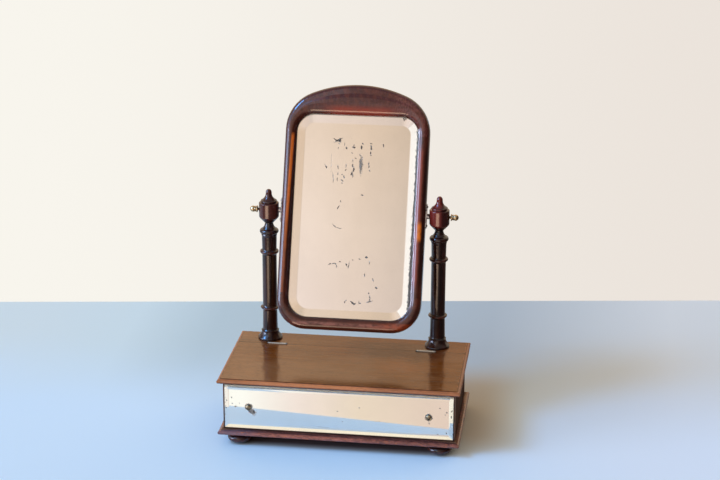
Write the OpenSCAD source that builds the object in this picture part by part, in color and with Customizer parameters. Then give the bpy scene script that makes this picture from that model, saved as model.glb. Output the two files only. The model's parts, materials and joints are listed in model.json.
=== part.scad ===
// Dressing table mirror: an arched, bevelled toilet mirror that swings between two turned
// posts on a small lidded jewel box with bun feet and a bevelled mirror panel on its front.
// Millimetres. +X right, +Y towards the back, +Z up.
// The origin is at table level, in the middle of the whole outline seen from above.

/* [Base] */
// Width over the moulded edges of lid and plinth
base_w = 360; // [340:1:400]
// Depth over the moulded edges of lid, rear strip and plinth
base_d = 200; // [190:1:230]
// Height of the case walls between plinth and lid
case_h = 75; // [73:1:110]
// Thickness of the case walls
wall_t = 8; // [6:0.5:10]
// How far the boards stand out past the case at the sides and back
side_overhang = 7.5; // [6:0.5:12]
// How far the boards stand out past the case at the front
front_overhang = 10.5; // [9:0.5:14]
// Thickness of the plinth board
plinth_t = 7; // [6:0.5:10]
// Thickness of the lid and of the rear strip
lid_t = 8; // [7.5:0.5:10]
// Height of the quirk, the small step above each rounded edge
quirk_h = 0.9; // [0.5:0.1:1.5]
// How far the quirk is set in from the start of the rounding
quirk_in = 1.5; // [0.5:0.5:4]

/* [Feet] */
// Height of the bun feet
foot_h = 16; // [12:0.5:24]
// Largest diameter of the bun feet
foot_d = 37; // [26:1:42]
// Distance of the foot centres from the ends of the plinth
foot_inset_x = 30; // [24:1:45]
// Distance of the foot centres from the front and back of the plinth
foot_inset_y = 20; // [19:1:40]
// Diameter of the spigot that holds each foot in the plinth
foot_spigot_d = 10; // [6:0.5:12]
// Length of that spigot
foot_spigot_l = 5; // [3:0.5:5.5]

/* [Front mirror panel] */
// Bare wood left at each end of the bevelled panel
panel_end_gap = 2.5; // [0.5:0.5:20]
// Bare wood below the panel
panel_lift = 3.3; // [1:0.1:12]
// Bare wood above the panel
panel_top_gap = 3.7; // [1:0.1:12]
// Thickness of the bevelled panel
panel_t = 4; // [3:0.5:5]
// Thickness left at the rim of the bevel
panel_rim_t = 2; // [1:0.5:2.5]
// Width of the bevel
panel_bevel = 6; // [4:0.5:12]
// Distance of each panel screw from the panel's end
panel_screw_inset = 36; // [16:1:80]

/* [Rear strip and hinges] */
// Depth of the fixed strip that carries the posts
strip_d = 50; // [46:1:70]
// Gap between lid and strip
joint_gap = 0.4; // [0.3:0.1:1]
// Distance of each hinge's middle from the end of the lid
hinge_inset = 65; // [30:1:110]
// Length of each hinge
hinge_l = 31; // [24:1:50]
// Radius of the hinge knuckles
knuckle_r = 1.5; // [1.4:0.1:2]
// Radius of the hinge pins
hinge_pin_r = 0.75; // [0.5:0.05:0.9]
// Thickness of the hinge leaves
leaf_t = 1; // [0.8:0.1:1.2]
// Height of the hinge leaves below the pin
leaf_h = 6.6; // [5.5:0.1:7.4]
// Height of the pin above the lid
pin_lift = 0.6; // [0.3:0.1:1]

/* [Posts] */
// Gap between the mirror's frame and each post's drum
post_gap = 5.3; // [3.4:0.1:9]
// Height of the finials above the drums
finial_h = 21.1; // [16:0.1:40]
// Height of the swing axis above the lid
pivot_h = 209; // [204:0.5:215]
// Radius of the post shafts
shaft_r = 11.1; // [8:0.1:12]
// Radius of the drum that holds the thumbscrew
drum_r = 15.2; // [13:0.1:16]
// Height of the drum
drum_h = 22.4; // [18:0.1:26]
// Radius of the post feet
post_foot_r = 18.9; // [15:0.1:20]
// Height of the lower ring above the lid
low_ring_h = 51; // [35:1:80]
// Height of the upper ring above the lid
high_ring_h = 142; // [100:1:150]
// Diameter of the spigot at the bottom of each post
post_spigot_d = 12; // [8:0.5:14]
// Height of the glue block under each post
glue_block_h = 20; // [12:1:30]

/* [Swing mirror] */
// Width over the frame
frame_w = 219; // [200:1:220]
// Height of the arched top above the swing axis
crest_rise = 194; // [180:1:198]
// Depth of the frame's lower edge below the swing axis
frame_drop = 178.5; // [165:0.5:185]
// Width of the side moulding
stile_w = 17.2; // [16.8:0.1:22]
// Height of the bottom moulding
bottom_w = 19; // [18:0.5:24]
// Height of the crest above the glass at the middle
crest_w = 47; // [38:1:55]
// Radius of the arched top
crest_r = 185; // [170:1:260]
// Radius of the arch's shoulders
shoulder_r = 60; // [45:1:64]
// Radius of the frame's lower outer corners
low_corner_r = 45; // [40:1:56]
// Radius of the upper corners of the opening
sight_top_r = 26; // [18:1:28]
// Radius of the lower corners of the opening
sight_low_r = 29.6; // [24:0.2:36]
// Backward lean of the mirror as it stands
rest_tilt = 22; // [0:1:30]
// Thickness of the frame behind the moulding
frame_back_t = 12; // [10:0.5:14]
// Height of the moulding in front of that
moulding_h = 9; // [6:0.5:12]
// Extra swell of the crest's middle
crest_swell = 2.5; // [0:0.5:4]
// Width of the rounding along each edge of the frame
round_w = 8.2; // [6:0.1:8.2]

/* [Glass and back] */
// Thickness of the main glass
glass_t = 4; // [3:0.5:5]
// Thickness left at the rim of the main glass
glass_rim_t = 1.8; // [1:0.1:2.4]
// Width of the main glass's bevel, rim to flat
glass_bevel = 16; // [10:1:17]
// Cover of the frame's lip over the glass
glass_lap = 4; // [3:0.5:5]
// Thickness of the lip over the glass
lip_t = 2; // [1:0.5:2.5]
// Thickness of the backboard
backboard_t = 5; // [3:0.5:7]
// Overlap of the backboard on the frame
backboard_lap = 6; // [5:0.5:6.5]

/* [Thumbscrews and pivot plates] */
// Radius of the thumbscrew rods
rod_r = 2; // [1.5:0.1:2.5]
// Depth of each rod inside the frame
rod_depth = 9.5; // [6:0.5:10]
// Radius of the thumbscrew's flange
knob_r = 5.2; // [4:0.1:7]
// Length of the turned knob
knob_l = 11.6; // [9:0.1:16]
// Bare rod between the post and the knob
rod_gap = 2.2; // [0.5:0.1:4]
// Length of the pivot plates
plate_l = 37; // [32:1:46]
// Width of the pivot plates
plate_w = 10; // [8:0.5:10]
// Thickness of the pivot plates
plate_t = 1.6; // [1:0.1:2]
// Radius of the threaded boss on each plate
boss_r = 4; // [3.4:0.1:5]

/* [Hidden] */

// Colours as the wood, brass and glass look
lid_brown = [0.50, 0.34, 0.24];
mahogany = [0.36, 0.15, 0.10];
post_brown = [0.20, 0.09, 0.07];
pine = [0.66, 0.52, 0.34];
brass = [0.72, 0.58, 0.32];
silvered = [0.86, 0.82, 0.78];

// Small sizes that several pieces share
$fn = 64;
eps = 0.01;
fit_gap = 0.05;
run_gap = 0.08;
seat_gap = 0.3;

// Heights, from the table up
plinth_z = foot_h;
case_z = plinth_z + plinth_t;
lid_z = case_z + case_h;
top_z = lid_z + lid_t;
pivot_z = top_z + pivot_h;

// The case, measured from the middle of the base
case_w = base_w - 2 * side_overhang;
front_y = -base_d / 2 + front_overhang;
back_y = base_d / 2 - side_overhang;
joint_y = base_d / 2 - strip_d;
hinge_x = base_w / 2 - hinge_inset;

// The frame of the swing mirror, half its width, and the posts that stand beside it
frame_hw = frame_w / 2;
post_x = frame_hw + post_gap + drum_r;
post_y = joint_y + strip_d / 2;
sight_hw = frame_hw - stile_w;
sight_top = crest_rise - crest_w;
sight_low = -frame_drop + bottom_w;
stile_top = sight_top - sight_top_r - 3;
stile_low = sight_low + sight_low_r + 5;

// Depths in the frame: zero on the swing axis, positive towards the front
back_w = -frame_back_t / 2;
edge_w = frame_back_t / 2;
crown_w = edge_w + moulding_h;
lip_w = edge_w - 1;
seat_w = lip_w - lip_t;
rebate_gap = 0.3;
rebate = glass_lap + rebate_gap;
lip_on_bevel = glass_rim_t + (glass_t - glass_rim_t) * glass_lap / glass_bevel;
glass_back_w = seat_w - lip_on_bevel - fit_gap;

// The highest point of the leaning crest sets how far back the whole reaches
reach_y = post_y + crest_rise * sin(rest_tilt) - back_w * cos(rest_tilt);
middle_y = (reach_y - base_d / 2) / 2;

// Everything that stands on the base is drawn from the middle of the base
module on_base() translate([0, -middle_y, 0]) children();

// The mirror's own frame: x across, z up the glass, -y out of its face, at the photographed lean
module in_mirror() {
    on_base() translate([0, post_y, pivot_z]) rotate([-rest_tilt, 0, 0]) children();
}

// A flat outline on the mirror, from depth w0 to depth w1
module mirror_slab(w0, w1) {
    translate([0, -w0, 0]) rotate([90, 0, 0]) linear_extrude(w1 - w0) children();
}

// Points of an arc about centre c, from angle a0 to angle a1 in n steps
function arc(c, r, a0, a1, n) = [
    for (i = [0 : n]) c + r * [cos(a0 + (a1 - a0) * i / n), sin(a0 + (a1 - a0) * i / n)]
];

// The points of a list, each mirrored left to right, in reverse order
function mirrored(points) = [
    for (i = [len(points) - 1 : -1 : 0]) [-points[i][0], points[i][1]]
];

// Screws point along -Z, with the underside of the head's rim at z = 0
module countersunk_screw(head_r, shank_r, length) {
    difference() {
        union() {
            translate([0, 0, shank_r - head_r]) {
                cylinder(h = head_r - shank_r, r1 = shank_r, r2 = head_r);
            }
            translate([0, 0, -length]) cylinder(h = length - head_r + shank_r, r = shank_r);
        }
        translate([-head_r, -head_r / 8, -head_r / 4]) cube([2 * head_r, head_r / 4, head_r]);
    }
}

// The hole that such a screw fills
module countersunk_hole(head_r, shank_r, length) {
    translate([0, 0, shank_r - head_r]) cylinder(h = head_r - shank_r, r1 = shank_r, r2 = head_r);
    translate([0, 0, -length]) cylinder(h = length, r = shank_r);
}

module round_head_screw(head_r, head_h, shank_r, length) {
    dome_r = (head_r * head_r + head_h * head_h) / (2 * head_h);
    difference() {
        union() {
            intersection() {
                translate([0, 0, head_h - dome_r]) sphere(r = dome_r);
                cylinder(h = head_h, r = head_r);
            }
            translate([0, 0, -length]) cylinder(h = length + eps, r = shank_r);
        }
        translate([-head_r, -head_r / 8, head_h / 2]) cube([2 * head_r, head_r / 4, head_h]);
    }
}

// Cross-section of a board: round noses under a quirk at the chosen ends, plain elsewhere
module board_section(span, t, low_nose, high_nose) {
    nose_r = (t - quirk_h) / 2;
    low = low_nose ? nose_r : 0;
    high = high_nose ? nose_r : 0;
    low_quirk = low_nose ? low + quirk_in : 0;
    high_quirk = high_nose ? high + quirk_in : 0;
    translate([-span / 2 + low, 0]) square([span - low - high, t - quirk_h]);
    translate([-span / 2 + low_quirk, 0]) square([span - low_quirk - high_quirk, t]);
    if (low_nose) translate([-span / 2 + nose_r, nose_r]) circle(r = nose_r);
    if (high_nose) translate([span / 2 - nose_r, nose_r]) circle(r = nose_r);
}

// A board centred on the origin, moulded at both ends and where asked at front and back
module moulded_board(w, d, t, front_nose, back_nose) {
    intersection() {
        translate([0, d / 2, 0]) rotate([90, 0, 0]) linear_extrude(d) board_section(w, t, true, true);
        translate([-w / 2, 0, 0]) rotate([90, 0, 90]) linear_extrude(w) {
            board_section(d, t, front_nose, back_nose);
        }
    }
}

// The case

panel_w = case_w - 2 * panel_end_gap;
panel_h = case_h - panel_lift - panel_top_gap;
panel_z = case_z + panel_lift + panel_h / 2;
panel_screw_x = panel_w / 2 - panel_screw_inset;
panel_screw_l = panel_t + wall_t - 1.5;
panel_shank_r = 1.4;
plinth_shank_r = 1.5;
plinth_screw_l = plinth_t + 11;

// The places of the plinth's screws, under the middle of each wall
plinth_screw_places = [
    for (sx = [-1, 1], wall_y = [front_y + wall_t / 2, back_y - wall_t / 2])
        [sx * case_w * 0.3, wall_y],
    for (sx = [-1, 1]) [sx * (case_w - wall_t) / 2, 0]
];

// The places of the four feet
foot_x = base_w / 2 - foot_inset_x;
foot_y = base_d / 2 - foot_inset_y;

module at_panel_screws() {
    for (sx = [-1, 1]) {
        translate([sx * panel_screw_x, front_y - panel_t, panel_z]) rotate([90, 0, 0]) children();
    }
}

module at_plinth_screws() {
    for (place = plinth_screw_places) {
        translate([place[0], place[1], plinth_z]) rotate([180, 0, 0]) children();
    }
}

module plinth_board() {
    color(mahogany) on_base() difference() {
        translate([0, 0, plinth_z]) moulded_board(base_w, base_d, plinth_t, true, true);
        for (sx = [-1, 1], sy = [-1, 1]) {
            translate([sx * foot_x, sy * foot_y, plinth_z]) cylinder(h = foot_spigot_l, d = foot_spigot_d);
        }
        at_plinth_screws() countersunk_hole(2 * plinth_shank_r, plinth_shank_r, plinth_screw_l);
    }
}

module plinth_screws() {
    color(brass) on_base() at_plinth_screws() {
        countersunk_screw(2 * plinth_shank_r, plinth_shank_r, plinth_screw_l);
    }
}

module box_front() {
    color(mahogany) on_base() difference() {
        translate([-case_w / 2, front_y, case_z]) cube([case_w, wall_t, case_h]);
        at_panel_screws() translate([0, 0, -panel_screw_l]) cylinder(h = panel_screw_l, r = panel_shank_r);
        at_plinth_screws() countersunk_hole(2 * plinth_shank_r, plinth_shank_r, plinth_screw_l);
    }
}

module box_back() {
    color(mahogany) on_base() difference() {
        translate([-case_w / 2, back_y - wall_t, case_z]) cube([case_w, wall_t, case_h]);
        at_plinth_screws() countersunk_hole(2 * plinth_shank_r, plinth_shank_r, plinth_screw_l);
    }
}

module box_side(sx) {
    side_d = back_y - front_y - 2 * wall_t;
    color(mahogany) on_base() difference() {
        translate([sx * (case_w - wall_t) / 2 - wall_t / 2, front_y + wall_t, case_z]) {
            cube([wall_t, side_d, case_h]);
        }
        at_plinth_screws() countersunk_hole(2 * plinth_shank_r, plinth_shank_r, plinth_screw_l);
    }
}

module box_left_side() box_side(-1);

module box_right_side() box_side(1);

// A plate with a bevel on all four edges, its back on y = 0 and its face towards -y
module bevelled_panel() {
    module bevel_section(span) {
        polygon([
            [-span / 2, 0], [span / 2, 0], [span / 2, panel_rim_t], [span / 2 - panel_bevel, panel_t],
            [-span / 2 + panel_bevel, panel_t], [-span / 2, panel_rim_t]
        ]);
    }
    rotate([90, 0, 0]) intersection() {
        translate([0, panel_h / 2, 0]) rotate([90, 0, 0]) linear_extrude(panel_h) bevel_section(panel_w);
        translate([-panel_w / 2, 0, 0]) rotate([90, 0, 90]) linear_extrude(panel_w) bevel_section(panel_h);
    }
}

module front_mirror_panel() {
    color(silvered) on_base() difference() {
        translate([0, front_y, panel_z]) bevelled_panel();
        at_panel_screws() translate([0, 0, -panel_t - 1]) cylinder(h = panel_t + 2, r = panel_shank_r + 0.5);
    }
}

// The small brass cups that spread each screw head on the glass
cup_r = 4.4;
cup_h = 1.1;
cup_floor = 0.2;
cup_seat_r = 2.9;

module panel_cup_washers() {
    color(brass) on_base() at_panel_screws() rotate_extrude() polygon([
        [panel_shank_r + fit_gap, 0], [cup_r, 0], [cup_r, 0.3], [cup_r - 0.5, cup_h - 0.2],
        [cup_r - 1, cup_h], [cup_seat_r + fit_gap, cup_h], [panel_shank_r + fit_gap, cup_floor]
    ]);
}

module panel_screws() {
    color(brass) on_base() at_panel_screws() {
        difference() {
            union() {
                translate([0, 0, -panel_screw_l]) cylinder(h = panel_screw_l + cup_floor, r = panel_shank_r);
                translate([0, 0, cup_floor]) {
                    cylinder(h = cup_h - cup_floor, r1 = panel_shank_r, r2 = cup_seat_r);
                }
                translate([0, 0, cup_h]) intersection() {
                    translate([0, 0, -4]) sphere(r = 5);
                    cylinder(h = 2, r = cup_seat_r);
                }
            }
            translate([0, 0, cup_h + 0.3]) rotate([0, 0, 45]) translate([-5, -0.4, 0]) cube([10, 0.8, 3]);
        }
    }
}

// Bun feet: a flattened ball, cut flat where it stands and where it meets the plinth
module bun_foot(sx, sy) {
    belly_h = foot_h * 0.51;
    belly_b = foot_h * 0.5625;
    low_a = -asin(belly_h / belly_b);
    high_a = asin((foot_h - belly_h) / belly_b);
    steps = 24;
    side = [
        for (i = [0 : steps]) let (a = low_a + (high_a - low_a) * i / steps)
            [foot_d / 2 * cos(a), belly_h + belly_b * sin(a)]
    ];
    color(post_brown) on_base() translate([sx * foot_x, sy * foot_y, 0]) {
        rotate_extrude() polygon(concat([[0, 0]], side, [
            [foot_spigot_d / 2, foot_h], [foot_spigot_d / 2, foot_h + foot_spigot_l],
            [0, foot_h + foot_spigot_l]
        ]));
    }
}

module foot_front_left() bun_foot(-1, -1);

module foot_front_right() bun_foot(1, -1);

module foot_rear_left() bun_foot(-1, 1);

module foot_rear_right() bun_foot(1, 1);

// The hinges

pin_z = top_z + pin_lift;
knuckles = 5;
knuckle_l = hinge_l / knuckles;
relief_r = knuckle_r + 0.3;
leaf_face = joint_gap / 2 - fit_gap;
leaf_screw_l = 8;
leaf_shank_r = 0.8;
leaf_head_r = leaf_shank_r + leaf_t - 0.1;
leaf_screw_z = -leaf_h / 2 - knuckle_r / 2;

module at_hinge(sx) translate([sx * hinge_x, joint_y, pin_z]) children();

// One of the two screws of a leaf: side is 1 in the strip and -1 in the lid
module at_leaf_screws(side) {
    for (sx = [-1, 1]) {
        translate([sx * hinge_l * 0.3, side * leaf_face, leaf_screw_z]) {
            rotate([side * 90, 0, 0]) children();
        }
    }
}

// A knuckle's cylinder about the pin, from the given knuckle number, wider by grow at both ends
module knuckle(i, r, grow) {
    translate([-hinge_l / 2 + i * knuckle_l - grow, 0, 0]) rotate([0, 90, 0]) {
        cylinder(h = knuckle_l + 2 * grow, r = r);
    }
}

module hinge_leaf(side, own, other) {
    leaf_y = side > 0 ? leaf_face : -leaf_face - leaf_t;
    difference() {
        union() {
            translate([-hinge_l / 2, leaf_y, -leaf_h]) cube([hinge_l, leaf_t, leaf_h]);
            for (i = own) knuckle(i, knuckle_r, -fit_gap);
        }
        for (i = other) knuckle(i, knuckle_r + 0.15, fit_gap);
        rotate([0, 90, 0]) cylinder(h = hinge_l + 2, r = hinge_pin_r + 0.02, center = true);
        at_leaf_screws(side) countersunk_hole(leaf_head_r, leaf_shank_r, leaf_screw_l);
    }
}

// The recess that a leaf, its knuckles and its screws need in the board beside it
module hinge_recess(side) {
    depth = leaf_face + leaf_t;
    translate([-hinge_l / 2, side > 0 ? -eps : -depth, -leaf_h]) {
        cube([hinge_l, depth + eps, leaf_h + 2]);
    }
    translate([-hinge_l / 2 - seat_gap, 0, 0]) rotate([0, 90, 0]) {
        cylinder(h = hinge_l + 2 * seat_gap, r = relief_r);
    }
    at_leaf_screws(side) countersunk_hole(leaf_head_r, leaf_shank_r, leaf_screw_l);
}

fixed_knuckles = [0, 2, 4];
moving_knuckles = [1, 3];

module left_hinge_fixed_leaf() {
    color(brass) on_base() at_hinge(-1) hinge_leaf(1, fixed_knuckles, moving_knuckles);
}

module right_hinge_fixed_leaf() {
    color(brass) on_base() at_hinge(1) hinge_leaf(1, fixed_knuckles, moving_knuckles);
}

module left_hinge_moving_leaf() {
    color(brass) on_base() at_hinge(-1) hinge_leaf(-1, moving_knuckles, fixed_knuckles);
}

module right_hinge_moving_leaf() {
    color(brass) on_base() at_hinge(1) hinge_leaf(-1, moving_knuckles, fixed_knuckles);
}

module hinge_pin(sx) {
    color(brass) on_base() at_hinge(sx) rotate([0, 90, 0]) {
        cylinder(h = hinge_l, r = hinge_pin_r, center = true);
    }
}

module left_hinge_pin() hinge_pin(-1);

module right_hinge_pin() hinge_pin(1);

module hinge_fixed_screws() {
    color(brass) on_base() for (sx = [-1, 1]) {
        at_hinge(sx) at_leaf_screws(1) countersunk_screw(leaf_head_r, leaf_shank_r, leaf_screw_l);
    }
}

module hinge_moving_screws() {
    color(brass) on_base() for (sx = [-1, 1]) {
        at_hinge(sx) at_leaf_screws(-1) countersunk_screw(leaf_head_r, leaf_shank_r, leaf_screw_l);
    }
}

// The lid and the strip behind it

lid_d = base_d - strip_d - joint_gap / 2;

module lid() {
    color(lid_brown) on_base() difference() {
        translate([0, -base_d / 2 + lid_d / 2, lid_z]) moulded_board(base_w, lid_d, lid_t, true, false);
        for (sx = [-1, 1]) at_hinge(sx) hinge_recess(-1);
    }
}

module rear_top_strip() {
    solid_d = strip_d - joint_gap / 2;
    color(lid_brown) on_base() difference() {
        translate([0, base_d / 2 - solid_d / 2, lid_z]) moulded_board(base_w, solid_d, lid_t, false, true);
        for (sx = [-1, 1]) {
            at_hinge(sx) hinge_recess(1);
            translate([sx * post_x, post_y, lid_z - 1]) cylinder(h = lid_t + 2, d = post_spigot_d);
        }
    }
}

// The posts

spigot_l = lid_t + glue_block_h - 2;

module glue_block(sx) {
    inner_x = case_w / 2 - wall_t;
    block_w = inner_x - post_x + 18;
    block_d = 28.5;
    corner_y = back_y - wall_t;
    color(pine) on_base() difference() {
        translate([sx * (inner_x - block_w / 2) - block_w / 2, corner_y - block_d, lid_z - glue_block_h]) {
            cube([block_w, block_d, glue_block_h]);
        }
        translate([sx * post_x, post_y, top_z - spigot_l]) cylinder(h = spigot_l, d = post_spigot_d);
    }
}

module left_glue_block() glue_block(-1);

module right_glue_block() glue_block(1);

// The turned outline of a post, from the lid up, as pairs of radius and height
drum_low = pivot_h - drum_h / 2;
drum_top = pivot_h + drum_h / 2;
drum_round = 1.4;
neck_r = 6.2;
collar_h = drum_low - 23;

// The bell foot: a flat rim, a hollow sweep up to a small step, then the foot of the shaft
bell_low = 3;
bell_high = 12.5;
bell_r = shaft_r + 1.9;
bell_sweep = post_foot_r - 0.5 - bell_r;
post_foot_outline = concat(
    [[0, 0], [post_foot_r - 0.4, 0], [post_foot_r, 0.8], [post_foot_r, 2]],
    [for (i = [0 : 8]) let (t = i / 8)
        [bell_r + bell_sweep * pow(1 - t, 1.6), bell_low + (bell_high - bell_low) * t]]
);
post_step_outline = [
    [bell_r + 0.6, bell_high + 0.2], [bell_r + 0.6, bell_high + 1], [bell_r, bell_high + 1.6],
    [shaft_r + 0.8, bell_high + 3], [shaft_r + 0.6, bell_high + 4.5]
];

// A turned ring standing out of the shaft, with a small fillet above and below
function ring_outline(h, r, half) = concat(
    [[shaft_r, h - half - 1.6], [shaft_r + 0.5, h - half - 0.5]],
    [for (p = arc([0, 0], 1, -80, 80, 10)) [shaft_r + 0.4 + (r - shaft_r - 0.4) * p[0], h + half * p[1]]],
    [[shaft_r + 0.5, h + half + 0.5], [shaft_r, h + half + 1.6]]
);
collar_outline = concat(
    [[shaft_r + 0.4, collar_h - 8], [shaft_r + 1, collar_h - 5.5]],
    arc([shaft_r - 0.5, collar_h], 3.9, -75, 75, 10),
    [[shaft_r - 0.9, collar_h + 4.7], [neck_r + 1.8, collar_h + 7.3]],
    [[neck_r + 0.4, collar_h + 10.8], [neck_r, collar_h + 13]]
);
drum_outline = concat(
    [[neck_r, drum_low - 9.6], [neck_r + 1, drum_low - 9], [neck_r + 1.4, drum_low - 8.2]],
    [[drum_r - 5.7, drum_low - 6.4], [drum_r - 2.9, drum_low - 3.4], [drum_r - 0.8, drum_low - 1]],
    [[drum_r, drum_low + 0.8]],
    arc([drum_r - drum_round, drum_top - 1], drum_round, 0, 80, 6),
    [[drum_r - 3.3, drum_top + 1], [drum_r - 3.4, drum_top + 1.7]],
    arc([drum_r - 3.9, drum_top + 2.9], 1.1, -60, 60, 6)
);

// The finial: a hollow sweep from a small ring above the drum up to a dome
finial_low = drum_top + 4.5;
finial_r = drum_r - 4.7;
dome_r = 4.6;
dome_h = 5.6;
dome_low = drum_top + finial_h - dome_h;
finial_outline = concat(
    [for (i = [0 : 10]) let (t = i / 10)
        [dome_r + (finial_r - dome_r) * pow(1 - t, 2.5), finial_low + (dome_low - finial_low) * t]],
    [for (i = [1 : 7]) let (a = 90 * i / 7) [dome_r * pow(cos(a), 0.8), dome_low + dome_h * sin(a)]]
);

module post(sx) {
    outline = concat(
        post_foot_outline, post_step_outline, ring_outline(low_ring_h, shaft_r + 3.4, 2.2),
        ring_outline(high_ring_h, shaft_r + 3.2, 2.7), collar_outline, drum_outline, finial_outline
    );
    color(post_brown) on_base() translate([sx * post_x, post_y, top_z]) difference() {
        union() {
            rotate_extrude() polygon(outline);
            translate([0, 0, -spigot_l]) cylinder(h = spigot_l + eps, d = post_spigot_d);
        }
        translate([0, 0, pivot_h]) rotate([0, 90, 0]) {
            cylinder(h = 3 * drum_r, r = rod_r + run_gap, center = true);
        }
    }
}

module left_post() post(-1);

module right_post() post(1);

// The frame of the swing mirror

round_steps = 7;
swell_steps = 4;

// Cross-section of the frame's moulding. x runs from the opening to the outer edge and y is the
// depth. It starts at the lip over the glass and ends in the rebate behind it. The middle of a
// wide piece swells, in the given number of steps.
function moulding(width, swell, steps) = concat(
    [[0, seat_w]],
    [for (i = [0 : round_steps]) let (a = 90 * i / round_steps)
        [round_w * (1 - cos(a)), lip_w + (crown_w - lip_w) * sin(a)]],
    [for (i = [1 : 1 : steps]) let (t = i / (steps + 1))
        [round_w + (width - 2 * round_w) * t, crown_w + swell * (1 - cos(360 * t)) / 2]],
    [for (i = [round_steps : -1 : 0]) let (a = 90 * i / round_steps)
        [width - round_w * (1 - cos(a)), edge_w + (crown_w - edge_w) * sin(a)]],
    [[width, back_w], [rebate, back_w], [rebate, seat_w]]
);

// Joins the moulding's sections along two matching lists of points: the edge of the opening
// and the outer edge. The rebate's own corner follows its list of points behind the opening.
module moulded_rail(inner, rebated, outer, steps) {
    stations = len(inner);
    widest = crest_w - stile_w;
    sections = [
        for (k = [0 : stations - 1]) let (
            run = outer[k] - inner[k],
            width = norm(run),
            swell = crest_swell * max(0, min(1, (width - bottom_w) / widest)),
            shape = moulding(width, swell, steps),
            last = len(shape) - 1
        ) [
            for (j = [0 : last]) let (
                flat = j >= last - 1 ? rebated[k] : inner[k] + run * shape[j][0] / width
            ) [flat[0], -shape[j][1], flat[1]]
        ]
    ];
    ring = len(sections[0]);
    points = [for (section = sections, p = section) p];
    sides = [
        for (k = [0 : stations - 2], j = [0 : ring - 1]) let (next = (j + 1) % ring)
            [k * ring + j, k * ring + next, (k + 1) * ring + next, (k + 1) * ring + j]
    ];
    start = [for (j = [ring - 1 : -1 : 0]) j];
    end = [for (j = [0 : ring - 1]) (stations - 1) * ring + j];
    polyhedron(points = points, faces = concat([start], sides, [end]), convexity = 6);
}

corner_steps = 10;
arch_steps = 12;

// The arch: a wide arc between two shoulders that run into the straight sides
arch_centre = crest_rise - crest_r;
shoulder_x = frame_hw - shoulder_r;
shoulder_z = arch_centre + sqrt(pow(crest_r - shoulder_r, 2) - pow(shoulder_x, 2));
shoulder_turn = atan2(shoulder_z - arch_centre, shoulder_x);

function crest_inner(grow) = concat(
    [[-sight_hw - grow, stile_top]],
    arc([-sight_hw + sight_top_r, sight_top - sight_top_r], sight_top_r + grow, 180, 90, corner_steps),
    [for (i = [1 : arch_steps - 1]) [(-sight_hw + sight_top_r) * (1 - i / arch_steps), sight_top + grow]]
);
crest_outer = concat(
    [[-frame_hw, stile_top]],
    arc([-shoulder_x, shoulder_z], shoulder_r, 180, 180 - shoulder_turn, corner_steps),
    [for (i = [1 : arch_steps - 1])
        let (a = 180 - shoulder_turn + (shoulder_turn - 90) * i / arch_steps)
            [crest_r * cos(a), arch_centre + crest_r * sin(a)]]
);

function bottom_inner(grow) = concat(
    [[-sight_hw - grow, stile_low]],
    arc([-sight_hw + sight_low_r, sight_low + sight_low_r], sight_low_r + grow, 180, 270, corner_steps)
);
bottom_outer = concat(
    [[-frame_hw, stile_low]],
    arc([-frame_hw + low_corner_r, -frame_drop + low_corner_r], low_corner_r, 180, 270, corner_steps)
);

// A whole path from its left half, through the point on the middle line if there is one
function whole(half, middle) = concat(half, middle, mirrored(half));

module crest_rail() {
    color(mahogany) in_mirror() moulded_rail(
        whole(crest_inner(0), [[0, sight_top]]),
        whole(crest_inner(rebate), [[0, sight_top + rebate]]),
        whole(crest_outer, [[0, crest_rise]]), swell_steps
    );
}

module bottom_rail() {
    color(mahogany) in_mirror() mirror([1, 0, 0]) moulded_rail(
        whole(bottom_inner(0), []), whole(bottom_inner(rebate), []), whole(bottom_outer, []), 0
    );
}

backboard_screw_places = [stile_low + 12, stile_low * 0.3, stile_top * 0.3, stile_top - 12];
backboard_screw_x = sight_hw + rebate + backboard_lap / 2;
backboard_shank_r = 1.2;
backboard_screw_l = backboard_t + 7;
plate_screw_z = plate_l / 2 - 4.2;
plate_shank_r = 1.2;
plate_screw_l = plate_t + 7;

module at_backboard_screws(sx) {
    for (z = backboard_screw_places) {
        translate([sx * backboard_screw_x, -back_w + backboard_t, z]) rotate([-90, 0, 0]) children();
    }
}

module at_plate_screws(sx) {
    for (sz = [-1, 1]) {
        translate([sx * (frame_hw + plate_t), 0, sz * plate_screw_z]) rotate([0, sx * 90, 0]) children();
    }
}

module stile(sx) {
    color(mahogany) in_mirror() difference() {
        translate([0, 0, stile_low]) linear_extrude(stile_top - stile_low) {
            polygon([for (p = moulding(stile_w, 0, 0)) [sx * (sight_hw + p[0]), -p[1]]]);
        }
        translate([sx * frame_hw, 0, 0]) rotate([0, -sx * 90, 0]) {
            cylinder(h = rod_depth + seat_gap, r = rod_r + seat_gap);
        }
        at_backboard_screws(sx) {
            countersunk_hole(2 * backboard_shank_r, backboard_shank_r, backboard_screw_l);
        }
        at_plate_screws(sx) translate([0, 0, -plate_screw_l]) {
            cylinder(h = plate_screw_l, r = plate_shank_r);
        }
    }
}

module left_stile() stile(-1);

module right_stile() stile(1);

// Outline of the opening, wider by grow all round, and narrower where grow is below zero
module sight_outline(grow) {
    top_c = [sight_hw - sight_top_r, sight_top - sight_top_r];
    low_c = [sight_hw - sight_low_r, sight_low + sight_low_r];
    right = concat(
        arc(low_c, sight_low_r + grow, 270, 360, corner_steps),
        arc(top_c, sight_top_r + grow, 0, 90, corner_steps)
    );
    polygon(concat(right, mirrored(right)));
}

module mirror_glass() {
    color(silvered) in_mirror() hull() {
        mirror_slab(glass_back_w, glass_back_w + glass_rim_t) sight_outline(glass_lap);
        mirror_slab(glass_back_w, glass_back_w + glass_t) sight_outline(glass_lap - glass_bevel);
    }
}

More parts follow.
